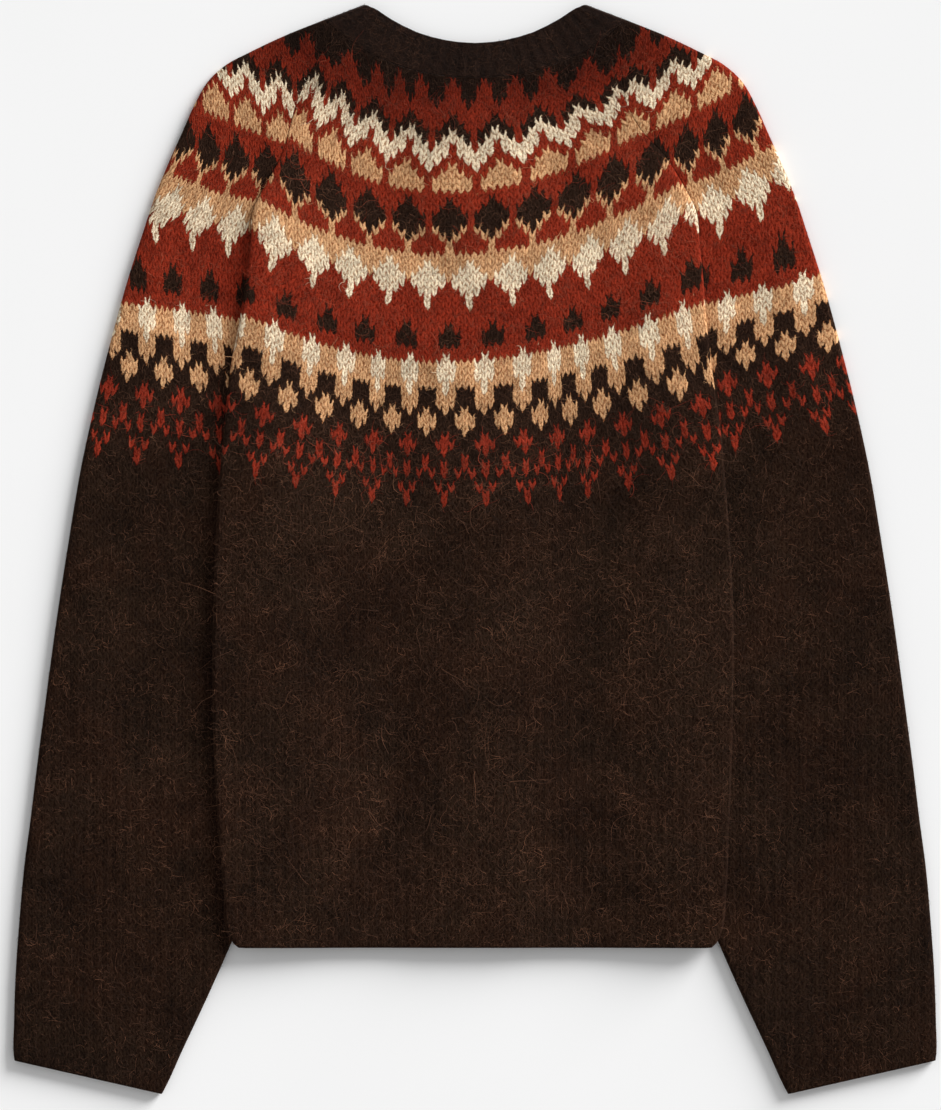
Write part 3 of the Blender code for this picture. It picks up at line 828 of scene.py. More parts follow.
# ---- finishes --------------------------------------------------------------------------
@dataclass(frozen=True)
class KnitFinish:
    """Brushed stranded knitting, its pattern worked by the yoke's chart.

    Scales are of noise, in waves a metre. Lights are shares of a noise's whole swing.
    """

    name: str = "knit"
    wander: float = 0.66       # how far stitches stray from their places, in stitches
    wander_scale: float = 170.0
    fray: float = 0.45         # how far a strand's edge strays
    fray_scale: float = 1100.0
    # Colour that darkens the gaps between legs: painted shade in the hollows, and the darker yarn
    # carried behind.
    gap: tuple[float, float, float, float] = (0.46, 0.30, 0.22, 1.0)
    stitch_light: float = 0.34
    mottle_scale: float = 42.0
    clump_scale: float = 330.0
    clump_light: float = 0.9
    fuzz_scale: float = 1700.0
    fuzz_light: float = 1.5
    drift_scale: float = 19.0
    warm: tuple[float, float, float, float] = (1.0, 0.93, 0.88, 1.0)
    cool: tuple[float, float, float, float] = (0.92, 1.0, 1.0, 1.0)
    ribs: float = 0.62         # ribs to a stitch near the hem and cuffs
    rib_row: float = 94.0      # row where the ribs are clear
    # Painted shade of the ribs: lighter on a rib, darker in a groove.
    rib_light: float = 0.16
    plain: float = 1.0         # how light the plain rows below the yoke are
    relief: float = 0.6 * MM

    def build(self) -> bpy.types.Material:
        """Makes the material."""
        g = KnitGraph(self.name)
        place = g.place()
        across, down, _ = g.split(g.uv("stitches"))
        slow_x, slow_y, _ = g.split(g.noise(place, self.wander_scale, 1.0).out("Color"))
        quick_x, quick_y, _ = g.split(g.noise(place, self.fray_scale, 1.0).out("Color"))
        across = across + (slow_x - 0.5) * self.wander + (quick_x - 0.5) * self.fray
        down = down + (slow_y - 0.5) * self.wander + (quick_y - 0.5) * self.fray

        row_place = g.row_place(across, down)
        row = row_place.floor()
        yarn = g.charted(across.floor(), row)
        one = g.node(
            "ShaderNodeTexWhiteNoise", {"noise_dimensions": "2D"},
            {"Vector": g.join((across * 2.0).floor(), row)},
        ).out("Value")
        leg = (across * 2.0).fract() * 2.0 - 1.0
        bead = row_place.fract() * 2.0 - 1.0
        strand = (1.0 - leg * leg).power(0.45) * (1.0 - bead * bead).power(0.6)

        mottle = g.noise(place, self.mottle_scale, 3.0, 0.4).out("Fac")
        clumps = g.noise(place, self.clump_scale, 4.0, 1.4).out("Fac")
        fuzz = g.noise(place, self.fuzz_scale, 2.0, 1.2).out("Fac")
        # Painted shade: the strands darken at their edges and in the gaps between legs, towards the
        # gap colour.
        shade = (strand + (clumps - 0.5) * 1.1).span(0.18, 0.82)
        colour = g.mix(shade, g.mix(1.0, yarn, self.gap, "MULTIPLY"), yarn)
        ribs = self.ribbing(across, down)
        light = (one - 0.5) * self.stitch_light + mottle + (fuzz - 0.5) * self.fuzz_light + 0.55
        # The ribs near the hem and cuffs add painted shade: lighter ribs, darker grooves.
        light = light + (clumps - 0.5) * self.clump_light + ribs * self.rib_light
        light = light + g.patches(place) * down.span(48.0, 64.0, 0.3, 1.3)
        # The rows' level dims the colour at the neck: painted shade.
        colour = g.scaled(colour, light.most(0.25) * g.level(down, self.plain))
        drift = g.noise(place, self.drift_scale, 2.0, 0.5).out("Fac").span(0.34, 0.66)
        tint = g.mix(drift, self.warm, self.cool)
        colour = g.mix(down.span(48.0, 64.0, 0.15, 1.0), colour, tint, "MULTIPLY")
        height = strand * 0.7 + clumps * 0.5 + fuzz * 0.5 + ribs * 0.8
        return g.finish(
            Base_Color=colour, Roughness=0.95, Specular_IOR_Level=0.06, Sheen_Weight=0.16,
            Sheen_Roughness=0.35, Sheen_Tint=linear((150, 104, 82)),
            Normal=g.bump(height, self.relief, 0.7),
        )

    def ribbing(self, across: Wire, down: Wire) -> Wire:
        """The low ribs over the hem and cuffs, from -0.5 in a groove to 0.5 on a rib."""
        wave = ((across * self.ribs).fract() - 0.5).size() * 2.0
        return (wave.span(0.1, 0.9) - 0.5) * down.span(self.rib_row - 8.0, self.rib_row)


@dataclass(frozen=True)
class HairFinish:
    """The loose hairs of the brushed yarn, each of its own stitch's colour."""

    name: str = "hair"
    ribbed: bool = False
    ribbed_light: float = 0.46
    plain: float = 1.0
    pale: tuple[int, int, int] = (148, 100, 74)
    paleness: float = 0.46
    tuft_scale: float = 48.0

    def build(self) -> bpy.types.Material:
        """Makes the material."""
        g = KnitGraph(self.name)
        place = g.place()
        tone, fade, _ = g.split(g.uv("tone"))
        across, down, _ = g.split(g.uv("stitches"))
        yarn, level = Yarn.BROWN.colour, self.ribbed_light
        if not self.ribbed:
            yarn = g.charted(across.floor(), g.row_place(across, down).floor())
            # The level dims the hairs at the neck: painted shade, as on the knit.
            level = g.level(down, self.plain)
        tufts = (g.noise(place, self.tuft_scale, 3.0, 1.0).out("Fac") - 0.5) * 2.6 + 0.9
        paler = tone.power(1.8) * self.paleness * tufts.most(0.2)
        light = (fade * 0.8 + 0.62) * (g.patches(place) * 1.6 + 1.0).most(0.4) * level
        colour = g.scaled(g.mix(paler, yarn, linear(self.pale)), light)
        return g.finish(Base_Color=colour, Roughness=0.8, Specular_IOR_Level=0.15)


@dataclass(frozen=True)
class RibFinish:
    """Brushed ribbing of the neckband and the button bands."""

    name: str = "rib"
    yarn: tuple[int, int, int] = (41, 24, 16)
    ribs: float = 0.5          # ribs to a stitch
    mottle_scale: float = 60.0
    clump_scale: float = 420.0
    fuzz_scale: float = 1500.0
    darkest: float = 0.12
    relief: float = 0.9 * MM

    def build(self) -> bpy.types.Material:
        """Makes the material."""
        g = KnitGraph(self.name)
        place = g.place()
        across, down, _ = g.split(g.uv("stitches"))
        rib = (((across * self.ribs).fract() - 0.5).size() * 2.0).span(0.15, 0.85)
        bead = (down.fract() - 0.5).size()
        mottle = g.noise(place, self.mottle_scale, 3.0, 0.4).out("Fac")
        clumps = g.noise(place, self.clump_scale, 3.0, 1.0).out("Fac")
        fuzz = g.noise(place, self.fuzz_scale, 2.0, 1.2).out("Fac")
        light = (mottle - 0.5) * 0.7 + (fuzz - 0.5) * 1.7 + (clumps - 0.5) * 1.1
        # Painted shade: the ribs are lighter and the grooves between them darker.
        light = (light + rib * 0.14 + 0.45).most(self.darkest)
        height = rib * 0.8 + bead * 0.3 + fuzz * 0.5 + clumps * 0.5
        return g.finish(
            Base_Color=g.scaled(linear(self.yarn), light), Roughness=0.95,
            Specular_IOR_Level=0.08, Sheen_Weight=0.06, Sheen_Roughness=0.5,
            Normal=g.bump(height, self.relief, 0.7),
        )


@dataclass(frozen=True)
class HornFinish:
    """Semi-matte horn-like resin with soft streaks."""

    name: str = "button"
    stretch: tuple[float, float, float] = (1.0, 0.25, 1.0)
    streak_scale: float = 420.0
    speck_scale: float = 2600.0
    relief: float = 0.1 * MM
    streaks: tuple[float, ...] = (0.3, 0.5, 0.62, 0.75)
    colours: tuple[tuple[int, int, int], ...] = (
        (34, 22, 16), (62, 40, 26), (104, 70, 42), (58, 36, 24),
    )

    def build(self) -> bpy.types.Material:
        """Makes the material."""
        g = Graph(self.name)
        place = g.place()
        values = {"Vector": place, "Scale": self.stretch}
        drawn_out = g.node("ShaderNodeMapping", {}, values).out("Vector")
        streak = g.noise(drawn_out, self.streak_scale, 4.0, 1.2).out("Fac")
        speck = g.noise(place, self.speck_scale, 2.0).out("Fac")
        colour = g.ramp(streak, Stops(self.streaks, tuple(linear(c) for c in self.colours)))
        return g.finish(
            Base_Color=colour, Roughness=speck.span(0.2, 0.8, 0.3, 0.42),
            Normal=g.bump(speck, self.relief, 0.15),
        )


@dataclass(frozen=True)
class FloorFinish:
    """Plain pale studio floor."""

    name: str = "floor"

    def build(self) -> bpy.types.Material:
        """Makes the material."""
        g = Graph(self.name)
        grain = g.noise(g.place(), 6.0, 2.0).out("Fac").span(0.3, 0.7)
        colour = g.mix(grain, linear((246, 246, 246)), linear((247, 247, 247)))
        return g.finish(Base_Color=colour, Roughness=0.9, Specular_IOR_Level=0.1)


# ---- making pieces ---------------------------------------------------------------------
Place = Callable[[Array, Array], Array]
LEAST_TURN = 1e-4                        # radians, for cloth that lies all but flat
ROLL = CLOTH.roll_outer * math.pi / 2.0  # length of cloth that bends down at an edge


@dataclass
class Face:
    """A dressed wall's outer face, kept for the hairs that grow on it."""

    points: Array
    quads: Array
    numbers: Array


def mesh_of(shape: bmesh.types.BMesh, name: str) -> bpy.types.Mesh:
    """Turns worked geometry into a mesh and frees it."""
    mesh = bpy.data.meshes.new(name)
    shape.to_mesh(mesh)
    shape.free()
    return mesh


def placed(name: str, mesh: bpy.types.Mesh, material: bpy.types.Material) -> bpy.types.Object:
    """Puts a mesh in the scene with its finish."""
    mesh.materials.append(material)
    piece = bpy.data.objects.new(name, mesh)
    bpy.context.scene.collection.objects.link(piece)
    return piece


class Tailor:
    """Makes shells, dresses them and hands them to the frame."""

    rim = 0.5 * MM
    rim_angle = math.radians(50.0)
    sleeve_light = 0.88

    def __init__(self) -> None:
        """Makes the finishes that several pieces share."""
        self.knit = KnitFinish().build()
        self.sleeve_knit = KnitFinish(name="sleeve_knit", plain=self.sleeve_light).build()
        self.rib = RibFinish().build()
        self.horn = HornFinish().build()
        self.hair = HairFinish().build()
        self.sleeve_hair = HairFinish(name="sleeve_hair", plain=self.sleeve_light).build()
        self.rib_hair = HairFinish(name="rib_hair", ribbed=True).build()
        self.made: list[bpy.types.Object] = []
        self.faces: dict[str, Face] = {}
        self.outline: Outline | None = None

    def shell(
        self, node: str, grid: tuple[int, int], place: Place, number: Place,
        material: bpy.types.Material, slot: Slot, flip: bool = False,
    ) -> bpy.types.Object:
        """A closed wall of cloth whose outer face is a grid moved into place.

        Args:
            node: The solid that the piece stands for.
            grid: Faces across the grid and along it.
            place: Gives the points at shares 0 to 1 across and along.
            number: Gives stitch and row at each corner, from the points and the faces.
            material: Its finish.
            slot: Its material slot; not used.
            flip: Whether the grid's faces have to be turned to point outwards.

        Returns:
            The piece.
        """
        name = f"{node}_cloth"
        shape = bmesh.new()
        bmesh.ops.create_grid(shape, x_segments=grid[0], y_segments=grid[1], size=0.5)
        bmesh.ops.translate(shape, vec=(0.5, 0.5, 0.0), verts=shape.verts)
        if flip:
            bmesh.ops.reverse_faces(shape, faces=shape.faces)
        mesh = mesh_of(shape, name)
        shares = np.empty(len(mesh.vertices) * 3)
        mesh.vertices.foreach_get("co", shares)
        shares = shares.reshape(-1, 3)
        points = place(shares[:, 0], shares[:, 1])
        mesh.vertices.foreach_set("co", points.ravel())
        corners = np.empty(len(mesh.loops), int)
        mesh.loops.foreach_get("vertex_index", corners)
        quads = corners.reshape(-1, 4)
        numbers = number(points, quads)
        mesh.uv_layers.new(name="stitches").data.foreach_set("uv", numbers.ravel())
        self.faces[name] = Face(points, quads, numbers.reshape(-1, 4, 2))
        mesh.shade_smooth()
        mesh.update()
        piece = placed(name, mesh, material)
        thick = piece.modifiers.new("wall", "SOLIDIFY")
        thick.thickness = CLOTH.wall
        thick.offset = -1.0
        thick.use_even_offset = False
        soft = piece.modifiers.new("rim", "BEVEL")
        soft.limit_method = "ANGLE"
        soft.angle_limit = self.rim_angle
        soft.width = self.rim
        soft.segments = 2
        soft.use_clamp_overlap = True
        self.hand_over(piece, slot, node)
        return piece

    def hand_over(self, piece: bpy.types.Object, slot: Slot, *nodes: str) -> None:
        """Rides a piece on the body and hides the solids that it stands for."""
        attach(piece, "root")
        if nodes:
            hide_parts(*nodes)
        self.made.append(piece)
        LOG.info("%s: %d faces", piece.name, len(piece.data.polygons))


def bend(turn: Array) -> tuple[Array, Array]:
    """Radius of the cloth that bends down at an edge, and how far out it reaches."""
    turn = np.maximum(turn, LEAST_TURN)
    radius = ROLL / turn
    return radius, radius * np.sin(turn)


def rolled(share: Array, edge: Array, turn: Array, start: float = 0.0) -> tuple[Array, Array]:
    """Where cloth ends up that bends down along an edge.

    Args:
        share: How far each point lies along the cloth, from 0 at its start to 1.
        edge: Where the edge lies.
        turn: How far the last stretch turns down, in radians.
        start: Where the cloth starts.

    Returns:
        Each point's place out, and how far it drops.
    """
    radius, reach = bend(turn)
    flat = edge - reach
    distance = start + share * (flat + ROLL - start)
    angle = np.clip((distance - flat) / ROLL, 0.0, 1.0) * np.maximum(turn, LEAST_TURN)
    out = np.where(distance > flat, flat + radius * np.sin(angle), distance)
    return out, radius * (1.0 - np.cos(angle))


def under_neck(edge_y: Array, out: Array, neck: Sequence[Sequence[float]], top_y: float) -> Array:
    """Heights of a panel's rows, which bend above the underarm to meet the neckband.

    Args:
        edge_y: Each point's height if its row ran level.
        out: Each point's distance out along the neckband's seam.
        neck: The neckband's table.
        top_y: The seam's height at the panel's edge.

    Returns:
        Each point's height.
    """
    seam = np.array(sorted((row[2], row[3]) for row in neck)) * MM
    seam_y = np.interp(out, seam[:, 0], seam[:, 1])
    bent = (seam_y - LAY.underarm_y) / (top_y - LAY.underarm_y)
    above = LAY.underarm_y + (edge_y - LAY.underarm_y) * bent
    return np.where(edge_y > LAY.underarm_y, above, edge_y)


@dataclass
class Crease:
    """A soft trough or ridge in laid cloth, from start to end, in millimetres."""

    start: tuple[float, float]
    end: tuple[float, float]
    width: float
    height: float
    bow: float = 0.06  # how far it bows, as a share of its length

    def lift(self, x: Array, y: Array) -> Array:
        """How far it raises the cloth at each point, in metres."""
        run = np.subtract(self.end, self.start)
        length = float(np.hypot(*run))
        way = run / length
        dx, dy = x / MM - self.start[0], y / MM - self.start[1]
        t = (dx * way[0] + dy * way[1]) / length
        off = -dx * way[1] + dy * way[0] + self.bow * length * np.sin(t * math.pi)
        ends = smoothstep(t / 0.3 + 0.5) * smoothstep((1.0 - t) / 0.3 + 0.5)
        return self.height * MM * ends * np.exp(-((off / self.width) ** 2))


def creased(creases: Sequence[Crease], x: Array, y: Array) -> Array:
    """Height of all the creases at each point."""
    return sum((crease.lift(x, y) for crease in creases), np.zeros_like(x))


@dataclass
class Back:
    """The back, which lies uppermost."""

    grid: tuple[int, int] = (104, 190)
    hem_y: float = -266.2 * MM
    top_y: float = 345.7 * MM
    creases: tuple[Crease, ...] = (
        Crease((-120.0, 150.0), (-138.0, -60.0), 16.0, 0.9),
        Crease((118.0, 140.0), (140.0, -90.0), 18.0, 0.8),
        Crease((-60.0, 60.0), (-86.0, -200.0), 22.0, -0.7),
        Crease((70.0, 30.0), (92.0, -210.0), 24.0, -0.7),
        Crease((-30.0, -40.0), (-10.0, -240.0), 18.0, 0.5),
        Crease((-110.0, 232.0), (-40.0, 180.0), 14.0, 0.6),
        Crease((104.0, 236.0), (40.0, 176.0), 14.0, 0.6),
    )

    def place(self, s: Array, t: Array) -> Array:
        """The outer face: s from left edge to right edge, t from hem to neck."""
        edge_y = self.hem_y + t * (self.top_y - self.hem_y)
        share = np.abs(s * 2.0 - 1.0)
        points = np.zeros((len(s), 3))
        for side in Side:
            edge = LAY.body_edge(edge_y, side) - CLOTH.edge_seam / 2.0
            out, drop = rolled(share, edge, math.pi / 2.0 * LAY.overlap(edge_y))
            top = LAY.body_edge(np.array([self.top_y]), side)[0] - CLOTH.edge_seam / 2.0
            y = under_neck(edge_y, share * top, NECK_BACK, self.top_y)
            z = CLOTH.lay + LAY.back(out, y, side) - drop
            mine = s < 0.5 if side is Side.LEFT else s >= 0.5
            points[mine] = np.stack((side.value * out, y, z), axis=1)[mine]
        inside = 1.0 - smoothstep((share - 0.9) / 0.08)
        points[:, 2] += creased(self.creases, points[:, 0], points[:, 1]) * inside
        return points

    def build(self, tailor: Tailor) -> bpy.types.Object:
        """Makes and dresses the back."""
        return tailor.shell(
            "back", self.grid, self.place, BACK_KNITTING.lay_over, tailor.knit, Slot.KNIT,
        )


@dataclass
class Front:
    """One front, which lies on the floor under the back."""

    side: Side
    grid: tuple[int, int] = (54, 170)
    hem_y: float = -266.2 * MM
    top_y: float = 316.0 * MM

    def place(self, s: Array, t: Array) -> Array:
        """The lower face: s from the opening to the edge, t from hem to neck."""
        edge_y = self.hem_y + t * (self.top_y - self.hem_y)
        unroll = (edge_y - LAY.underarm_y) / (LAY.front_unroll_y - LAY.underarm_y)
        side_seam, raglan = LAY.body_edge(edge_y, self.side), Curve(RAGLAN_FRONT, 0, 1)(edge_y)
        edge = np.where(edge_y <= LAY.underarm_y, side_seam, raglan) - CLOTH.edge_seam / 2.0
        out, drop = rolled(s, edge, math.pi / 2.0 * (1.0 - smoothstep(unroll)), LAY.opening)
        top = RAGLAN_FRONT[-1][1] * MM - CLOTH.edge_seam / 2.0
        y = under_neck(edge_y, LAY.opening + s * (top - LAY.opening), NECK_FRONT, self.top_y)
        z = LAY.front(out, y, self.side) + drop
        return np.stack((self.side.value * out, y, z), axis=1)

    def build(self, tailor: Tailor) -> bpy.types.Object:
        """Makes and dresses the front."""
        return tailor.shell(
            f"front_{self.side.word}", self.grid, self.place, FRONT_KNITTING.lay_over,
            tailor.knit, Slot.KNIT, flip=self.side is Side.RIGHT,
        )


@dataclass
class Sleeve:
    """One sleeve, a flattened tube that lies partly under the body."""

    side: Side
    rolls: int = 4
    layer: int = 30
    fold: int = 8
    along: int = 170

    def creases(self) -> tuple[Crease, ...]:
        """Low creases of the upper layer, clear of the body that lies on it."""
        if self.side is Side.LEFT:
            return (
                Crease((-204.0, 226.0), (-218.0, 120.0), 11.0, 0.8),
                Crease((-236.0, 96.0), (-222.0, -60.0), 13.0, -0.7),
                Crease((-262.0, -20.0), (-240.0, -170.0), 14.0, 0.7),
                Crease((-214.0, -190.0), (-252.0, -320.0), 12.0, 0.6),
            )
        return (
            Crease((200.0, 214.0), (222.0, 96.0), 11.0, 0.8),
            Crease((232.0, 60.0), (216.0, -90.0), 14.0, -0.7),
            Crease((250.0, -60.0), (266.0, -210.0), 12.0, 0.6),
            Crease((222.0, -200.0), (246.0, -330.0), 13.0, -0.6),
        )

    def segments(self) -> tuple[int, ...]:
        """Faces across the upper roll, upper layer, fold, lower layer and lower roll."""
        return (self.rolls, self.layer, self.fold, self.layer, self.rolls)

    def section(self, t: Array) -> tuple[Array, ...]:
        """Back y, front y, fold out and fold y at shares 0 to 1 from cuff to neck."""
        table = np.array(SLEEVE)
        lengths = np.hypot(np.diff(table[:, 2]), np.diff(table[:, 3]))
        stations = np.concatenate(([0.0], np.cumsum(lengths)))
        want = (1.0 - t) * stations[-1] * MM
        columns = [np.stack((stations, table[:, c]), axis=1) for c in range(4)]
        return tuple(Curve(column, 0, 1)(want) for column in columns)

    def place(self, s: Array, t: Array) -> Array:
        """The outer face: s once round from the underarm edge, t from cuff to neck."""
        back_y, front_y, fold_out, fold_y = self.section(t)
        over = back_y > LAY.underarm_y
        inner = LAY.sleeve_inner(back_y)
        back_out = np.where(over, Curve(RAGLAN_BACK, 0, self.side.column)(back_y), inner)
        front_out = np.where(over, Curve(RAGLAN_FRONT, 0, 1)(front_y), inner)
        down = (LAY.underarm_y - back_y) / (LAY.underarm_y - LAY.sleeve_roll_y)
        turn = math.pi / 2.0 * smoothstep(down)

        counts = np.array(self.segments())
        starts = np.concatenate(([0], np.cumsum(counts)))
        number = np.rint(s * starts[-1]).astype(int)
        stretch = np.clip(np.searchsorted(starts, number, side="right") - 1, 0, len(counts) - 1)
        share = (number - starts[stretch]) / counts[stretch]
        lower = (stretch > 2) | ((stretch == 2) & (share >= 0.5))
        out = np.where(lower, front_out, back_out) + CLOTH.edge_seam / 2.0
        start = np.stack((out, np.where(lower, front_y, back_y)), axis=1)
        run = np.stack((fold_out, fold_y), axis=1) - start
        width = np.linalg.norm(run, axis=1)

        radius, reach = bend(turn)
        angle = np.maximum(turn, LEAST_TURN) * np.where(stretch == 0, 1.0 - share, share)
        drop = radius * (1.0 - np.cos(angle))
        middle = width - CLOTH.fold_outer
        flat = reach + (middle - reach) * np.where(stretch == 1, share, 1.0 - share)
        half_turn = math.pi * share
        distance = np.select(
            [stretch == 2, (stretch == 1) | (stretch == 3)],
            [middle + CLOTH.fold_outer * np.sin(half_turn), flat],
            reach - radius * np.sin(angle),
        )
        z = np.select(
            [stretch == 0, stretch == 1, stretch == 2, stretch == 3],
            [CLOTH.lay - drop, CLOTH.lay, CLOTH.fold_outer * (1.0 + np.cos(half_turn)), 0.0],
            drop,
        )
        flat_place = start + run * (distance / width)[:, None]
        x, y = self.side.value * flat_place[:, 0], flat_place[:, 1]
        upper = (stretch == 1) * smoothstep(share / 0.15) * smoothstep((1.0 - share) / 0.12)
        return np.stack((x, y, z + creased(self.creases(), x, y) * upper), axis=1)

    def build(self, tailor: Tailor) -> bpy.types.Object:
        """Makes and dresses the sleeve."""
        left = self.side is Side.LEFT
        knitting = LEFT_SLEEVE_KNITTING if left else RIGHT_SLEEVE_KNITTING
        return tailor.shell(
            f"sleeve_{self.side.word}", (sum(self.segments()), self.along), self.place,
            knitting.lay_over, tailor.sleeve_knit, Slot.KNIT, flip=left,
        )


@dataclass
class Neckband:
    """The ribbed neckband, round the neck from one button band to the other."""

    across: int = 10
    rows: float = 5.0
    stitch: float = 4.0 * MM
    back_steps: int = 30
    fold_steps: int = 12
    front_steps: int = 31
    inset: float = 0.5 * MM     # how far the fold's free corner is drawn in
    rounding: float = 1.5 * MM  # how far that corner is rounded off
    numbers: Array | None = None

    @staticmethod
    def between(rows: Array, share: float) -> tuple[Vector, Vector]:
        """Free point and seam point at a share of the way down a table."""
        at = share * (len(rows) - 1)
        row = [np.interp(at, range(len(rows)), rows[:, c]) for c in range(4)]
        return Vector(row[:2]), Vector(row[2:])

    def stations(self) -> list[tuple[Vector, Vector, float]]:
        """Free point, seam point and turn of half the band, centre back to the front.

        Returns:
            A list of the two points in the plane, with the angle round the fold: 0 on the
            upper layer and pi on the lower one.
        """
        back, front = np.array(NECK_BACK) * MM, np.array(NECK_FRONT) * MM
        tip, heel = Vector(NECK_FOLD[:2]) * MM, Vector(NECK_FOLD[2:]) * MM
        crease = (heel - tip).normalized()
        outwards = Vector((-crease.y, crease.x))
        found = [
            (*self.between(back, k / self.back_steps), 0.0) for k in range(self.back_steps)
        ]
        for k in range(self.fold_steps + 1):
            angle = math.pi * k / self.fold_steps
            table = back[-1] if angle < math.pi / 2.0 else front[0]
            seam_way = (heel - Vector(table[2:])).normalized()
            short = CLOTH.fold_outer * (1.0 - math.sin(angle))
            free = tip - (outwards + crease * 0.7) * short - outwards * self.inset
            free += crease * (self.rounding * math.sin(angle) ** 4)
            found.append((free, heel - seam_way * short, angle))
        for k in range(1, self.front_steps + 1):
            found.append((*self.between(front, k / self.front_steps), math.pi))
        return found

    def place(self, s: Array, t: Array) -> Array:
        """The outer face: s from the left front round to the right, t from seam to free edge."""
        half = self.stations()
        number = np.rint((s * 2.0 - 1.0) * (len(half) - 1)).astype(int)
        arc = [0.0]
        for a, b in zip(half, half[1:]):
            step = ((b[0] + b[1]) / 2.0 - (a[0] + a[1]) / 2.0).length
            arc.append(arc[-1] + step + CLOTH.fold_outer * (b[2] - a[2]))
        points = np.zeros((len(s), 3))
        self.numbers = np.zeros((len(s), 2))
        for k in range(len(s)):
            free, seam, angle = half[abs(number[k])]
            side = Side.LEFT if number[k] < 0 else Side.RIGHT
            near = seam + (free - seam).normalized() * CLOTH.edge_seam * 0.8
            point = near.lerp(free, t[k])
            out, y = np.array([point.x]), np.array([point.y])
            if angle == 0.0:
                z = CLOTH.lay + LAY.back(out, y, side)[0]
            elif angle == math.pi:
                z = LAY.front(out, y, side)[0]
            else:
                z = CLOTH.fold_outer * (1.0 + math.cos(angle))
            points[k] = (side.value * point.x, point.y, z)
            stitch = math.copysign(arc[abs(number[k])], number[k]) / self.stitch
            self.numbers[k] = (stitch, t[k] * self.rows)
        return points

    def number(self, points: Array, quads: Array) -> Array:
        """Stitch and row at each corner of the band's faces."""
        return self.numbers[quads.ravel()]

    def build(self, tailor: Tailor) -> bpy.types.Object:
        """Makes and dresses the neckband."""
        grid = (2 * (len(self.stations()) - 1), self.across)
        return tailor.shell("neckband", grid, self.place, self.number, tailor.rib, Slot.RIB)


@dataclass
class ButtonBand:
    """One straight ribbed strip of the front opening."""

    side: Side
    rise: float
    grid: tuple[int, int] = (14, 180)
    width: float = 28.0 * MM
    low_y: float = -266.2 * MM
    top_y: float = 275.6 * MM
    stitch: float = 4.0 * MM

    def place(self, s: Array, t: Array) -> Array:
        """The lower face: s across, t from hem to neck."""
        x = (s - 0.5) * self.width
        y = self.low_y + t * (self.top_y - self.low_y)
        return np.stack((x, y, np.full_like(x, self.rise)), axis=1)

    def number(self, points: Array, quads: Array) -> Array:
        """Stitch and row at each corner of the band's faces."""
        corners = points[quads.ravel()]
        return np.stack((corners[:, 1], corners[:, 0]), axis=1) / self.stitch

    def build(self, tailor: Tailor) -> bpy.types.Object:
        """Makes and dresses the band."""
        return tailor.shell(
            f"buttonband_{self.side.word}", self.grid, self.place, self.number,
            tailor.rib, Slot.RIB, flip=True,
        )


@dataclass
class Buttons:
    """Seven dished buttons down the front, on the underside as the garment lies."""

    count: int = 7
    radius: float = 7.5 * MM
    thickness: float = 2.2 * MM
    clearance: float = 0.2 * MM
    top_y: float = 263.0 * MM
    low_y: float = -250.0 * MM
    round_steps: int = 40
    sharp: float = math.radians(50.0)
    profile: tuple[tuple[float, float], ...] = (  # shares of radius and of thickness
        (0.0, 0.0), (0.60, 0.0), (0.86, -0.02), (0.97, -0.12), (1.0, -0.30),
        (1.0, -0.62), (0.97, -0.86), (0.90, -0.98), (0.80, -1.0), (0.70, -0.94),
        (0.62, -0.80), (0.55, -0.72), (0.0, -0.70),
    )

    def disc(self) -> bpy.types.Mesh:
        """A button's mesh with its face down, its rim raised round a dished middle."""
        shape = bmesh.new()
        verts = [
            shape.verts.new((r * self.radius, 0.0, self.thickness * (1.0 + z)))
            for r, z in self.profile
        ]
        edges = [shape.edges.new(pair) for pair in zip(verts, verts[1:])]
        bmesh.ops.spin(
            shape, geom=verts + edges, cent=(0.0, 0.0, 0.0), axis=(0.0, 0.0, 1.0),
            angle=math.tau, steps=self.round_steps, use_merge=True,
        )
        bmesh.ops.remove_doubles(shape, verts=shape.verts, dist=1e-6)
        bmesh.ops.recalc_face_normals(shape, faces=shape.faces)
        mesh = mesh_of(shape, "button_disc")
        mesh.shade_smooth()
        mesh.set_sharp_from_angle(angle=self.sharp)
        return mesh

    def build(self, tailor: Tailor) -> None:
        """Makes and dresses the buttons."""
        pitch = (self.top_y - self.low_y) / (self.count - 1)
        for number in range(self.count):
            mesh = self.disc()
            where = Vector((0.0, self.top_y - number * pitch, self.clearance))
            mesh.transform(Matrix.Translation(where))
            piece = placed(f"button_{number + 1}_horn", mesh, tailor.horn)
            tailor.hand_over(piece, Slot.BUTTON, f"button_{number + 1}")


class Outline:
    """Where the laid garment covers the floor, as small cells."""

    def __init__(self, faces: Sequence[Face], cell: float = 1.0 * MM, reach: float = 0.42) -> None:
        """Marks the cells under all faces.

        Args:
            faces: The dressed walls' outer faces.
            cell: The size of a cell.
            reach: Half of the square that the garment lies in.
        """
        self.cell, self.reach = cell, reach
        count = int(2.0 * reach / cell)
        self.covered = np.zeros((count, count), bool)
        steps = (np.arange(5) + 0.5) / 5.0
        for face in faces:
            corners = face.points[face.quads][:, :, :2]
            for a in steps:
                for b in steps:
                    top = corners[:, 0] * (1 - a) + corners[:, 1] * a
                    low = corners[:, 3] * (1 - a) + corners[:, 2] * a
                    self.covered[self.cells(top * (1 - b) + low * b)] = True

    def cells(self, places: Array) -> tuple[Array, Array]:
        """The cells that some places lie in."""
        found = ((places + self.reach) / self.cell).astype(int)
        found = np.clip(found, 0, len(self.covered) - 1)
        return found[..., 0], found[..., 1]

    def holds(self, places: Array) -> Array:
        """Whether each place lies over the garment."""
        return self.covered[self.cells(places)]


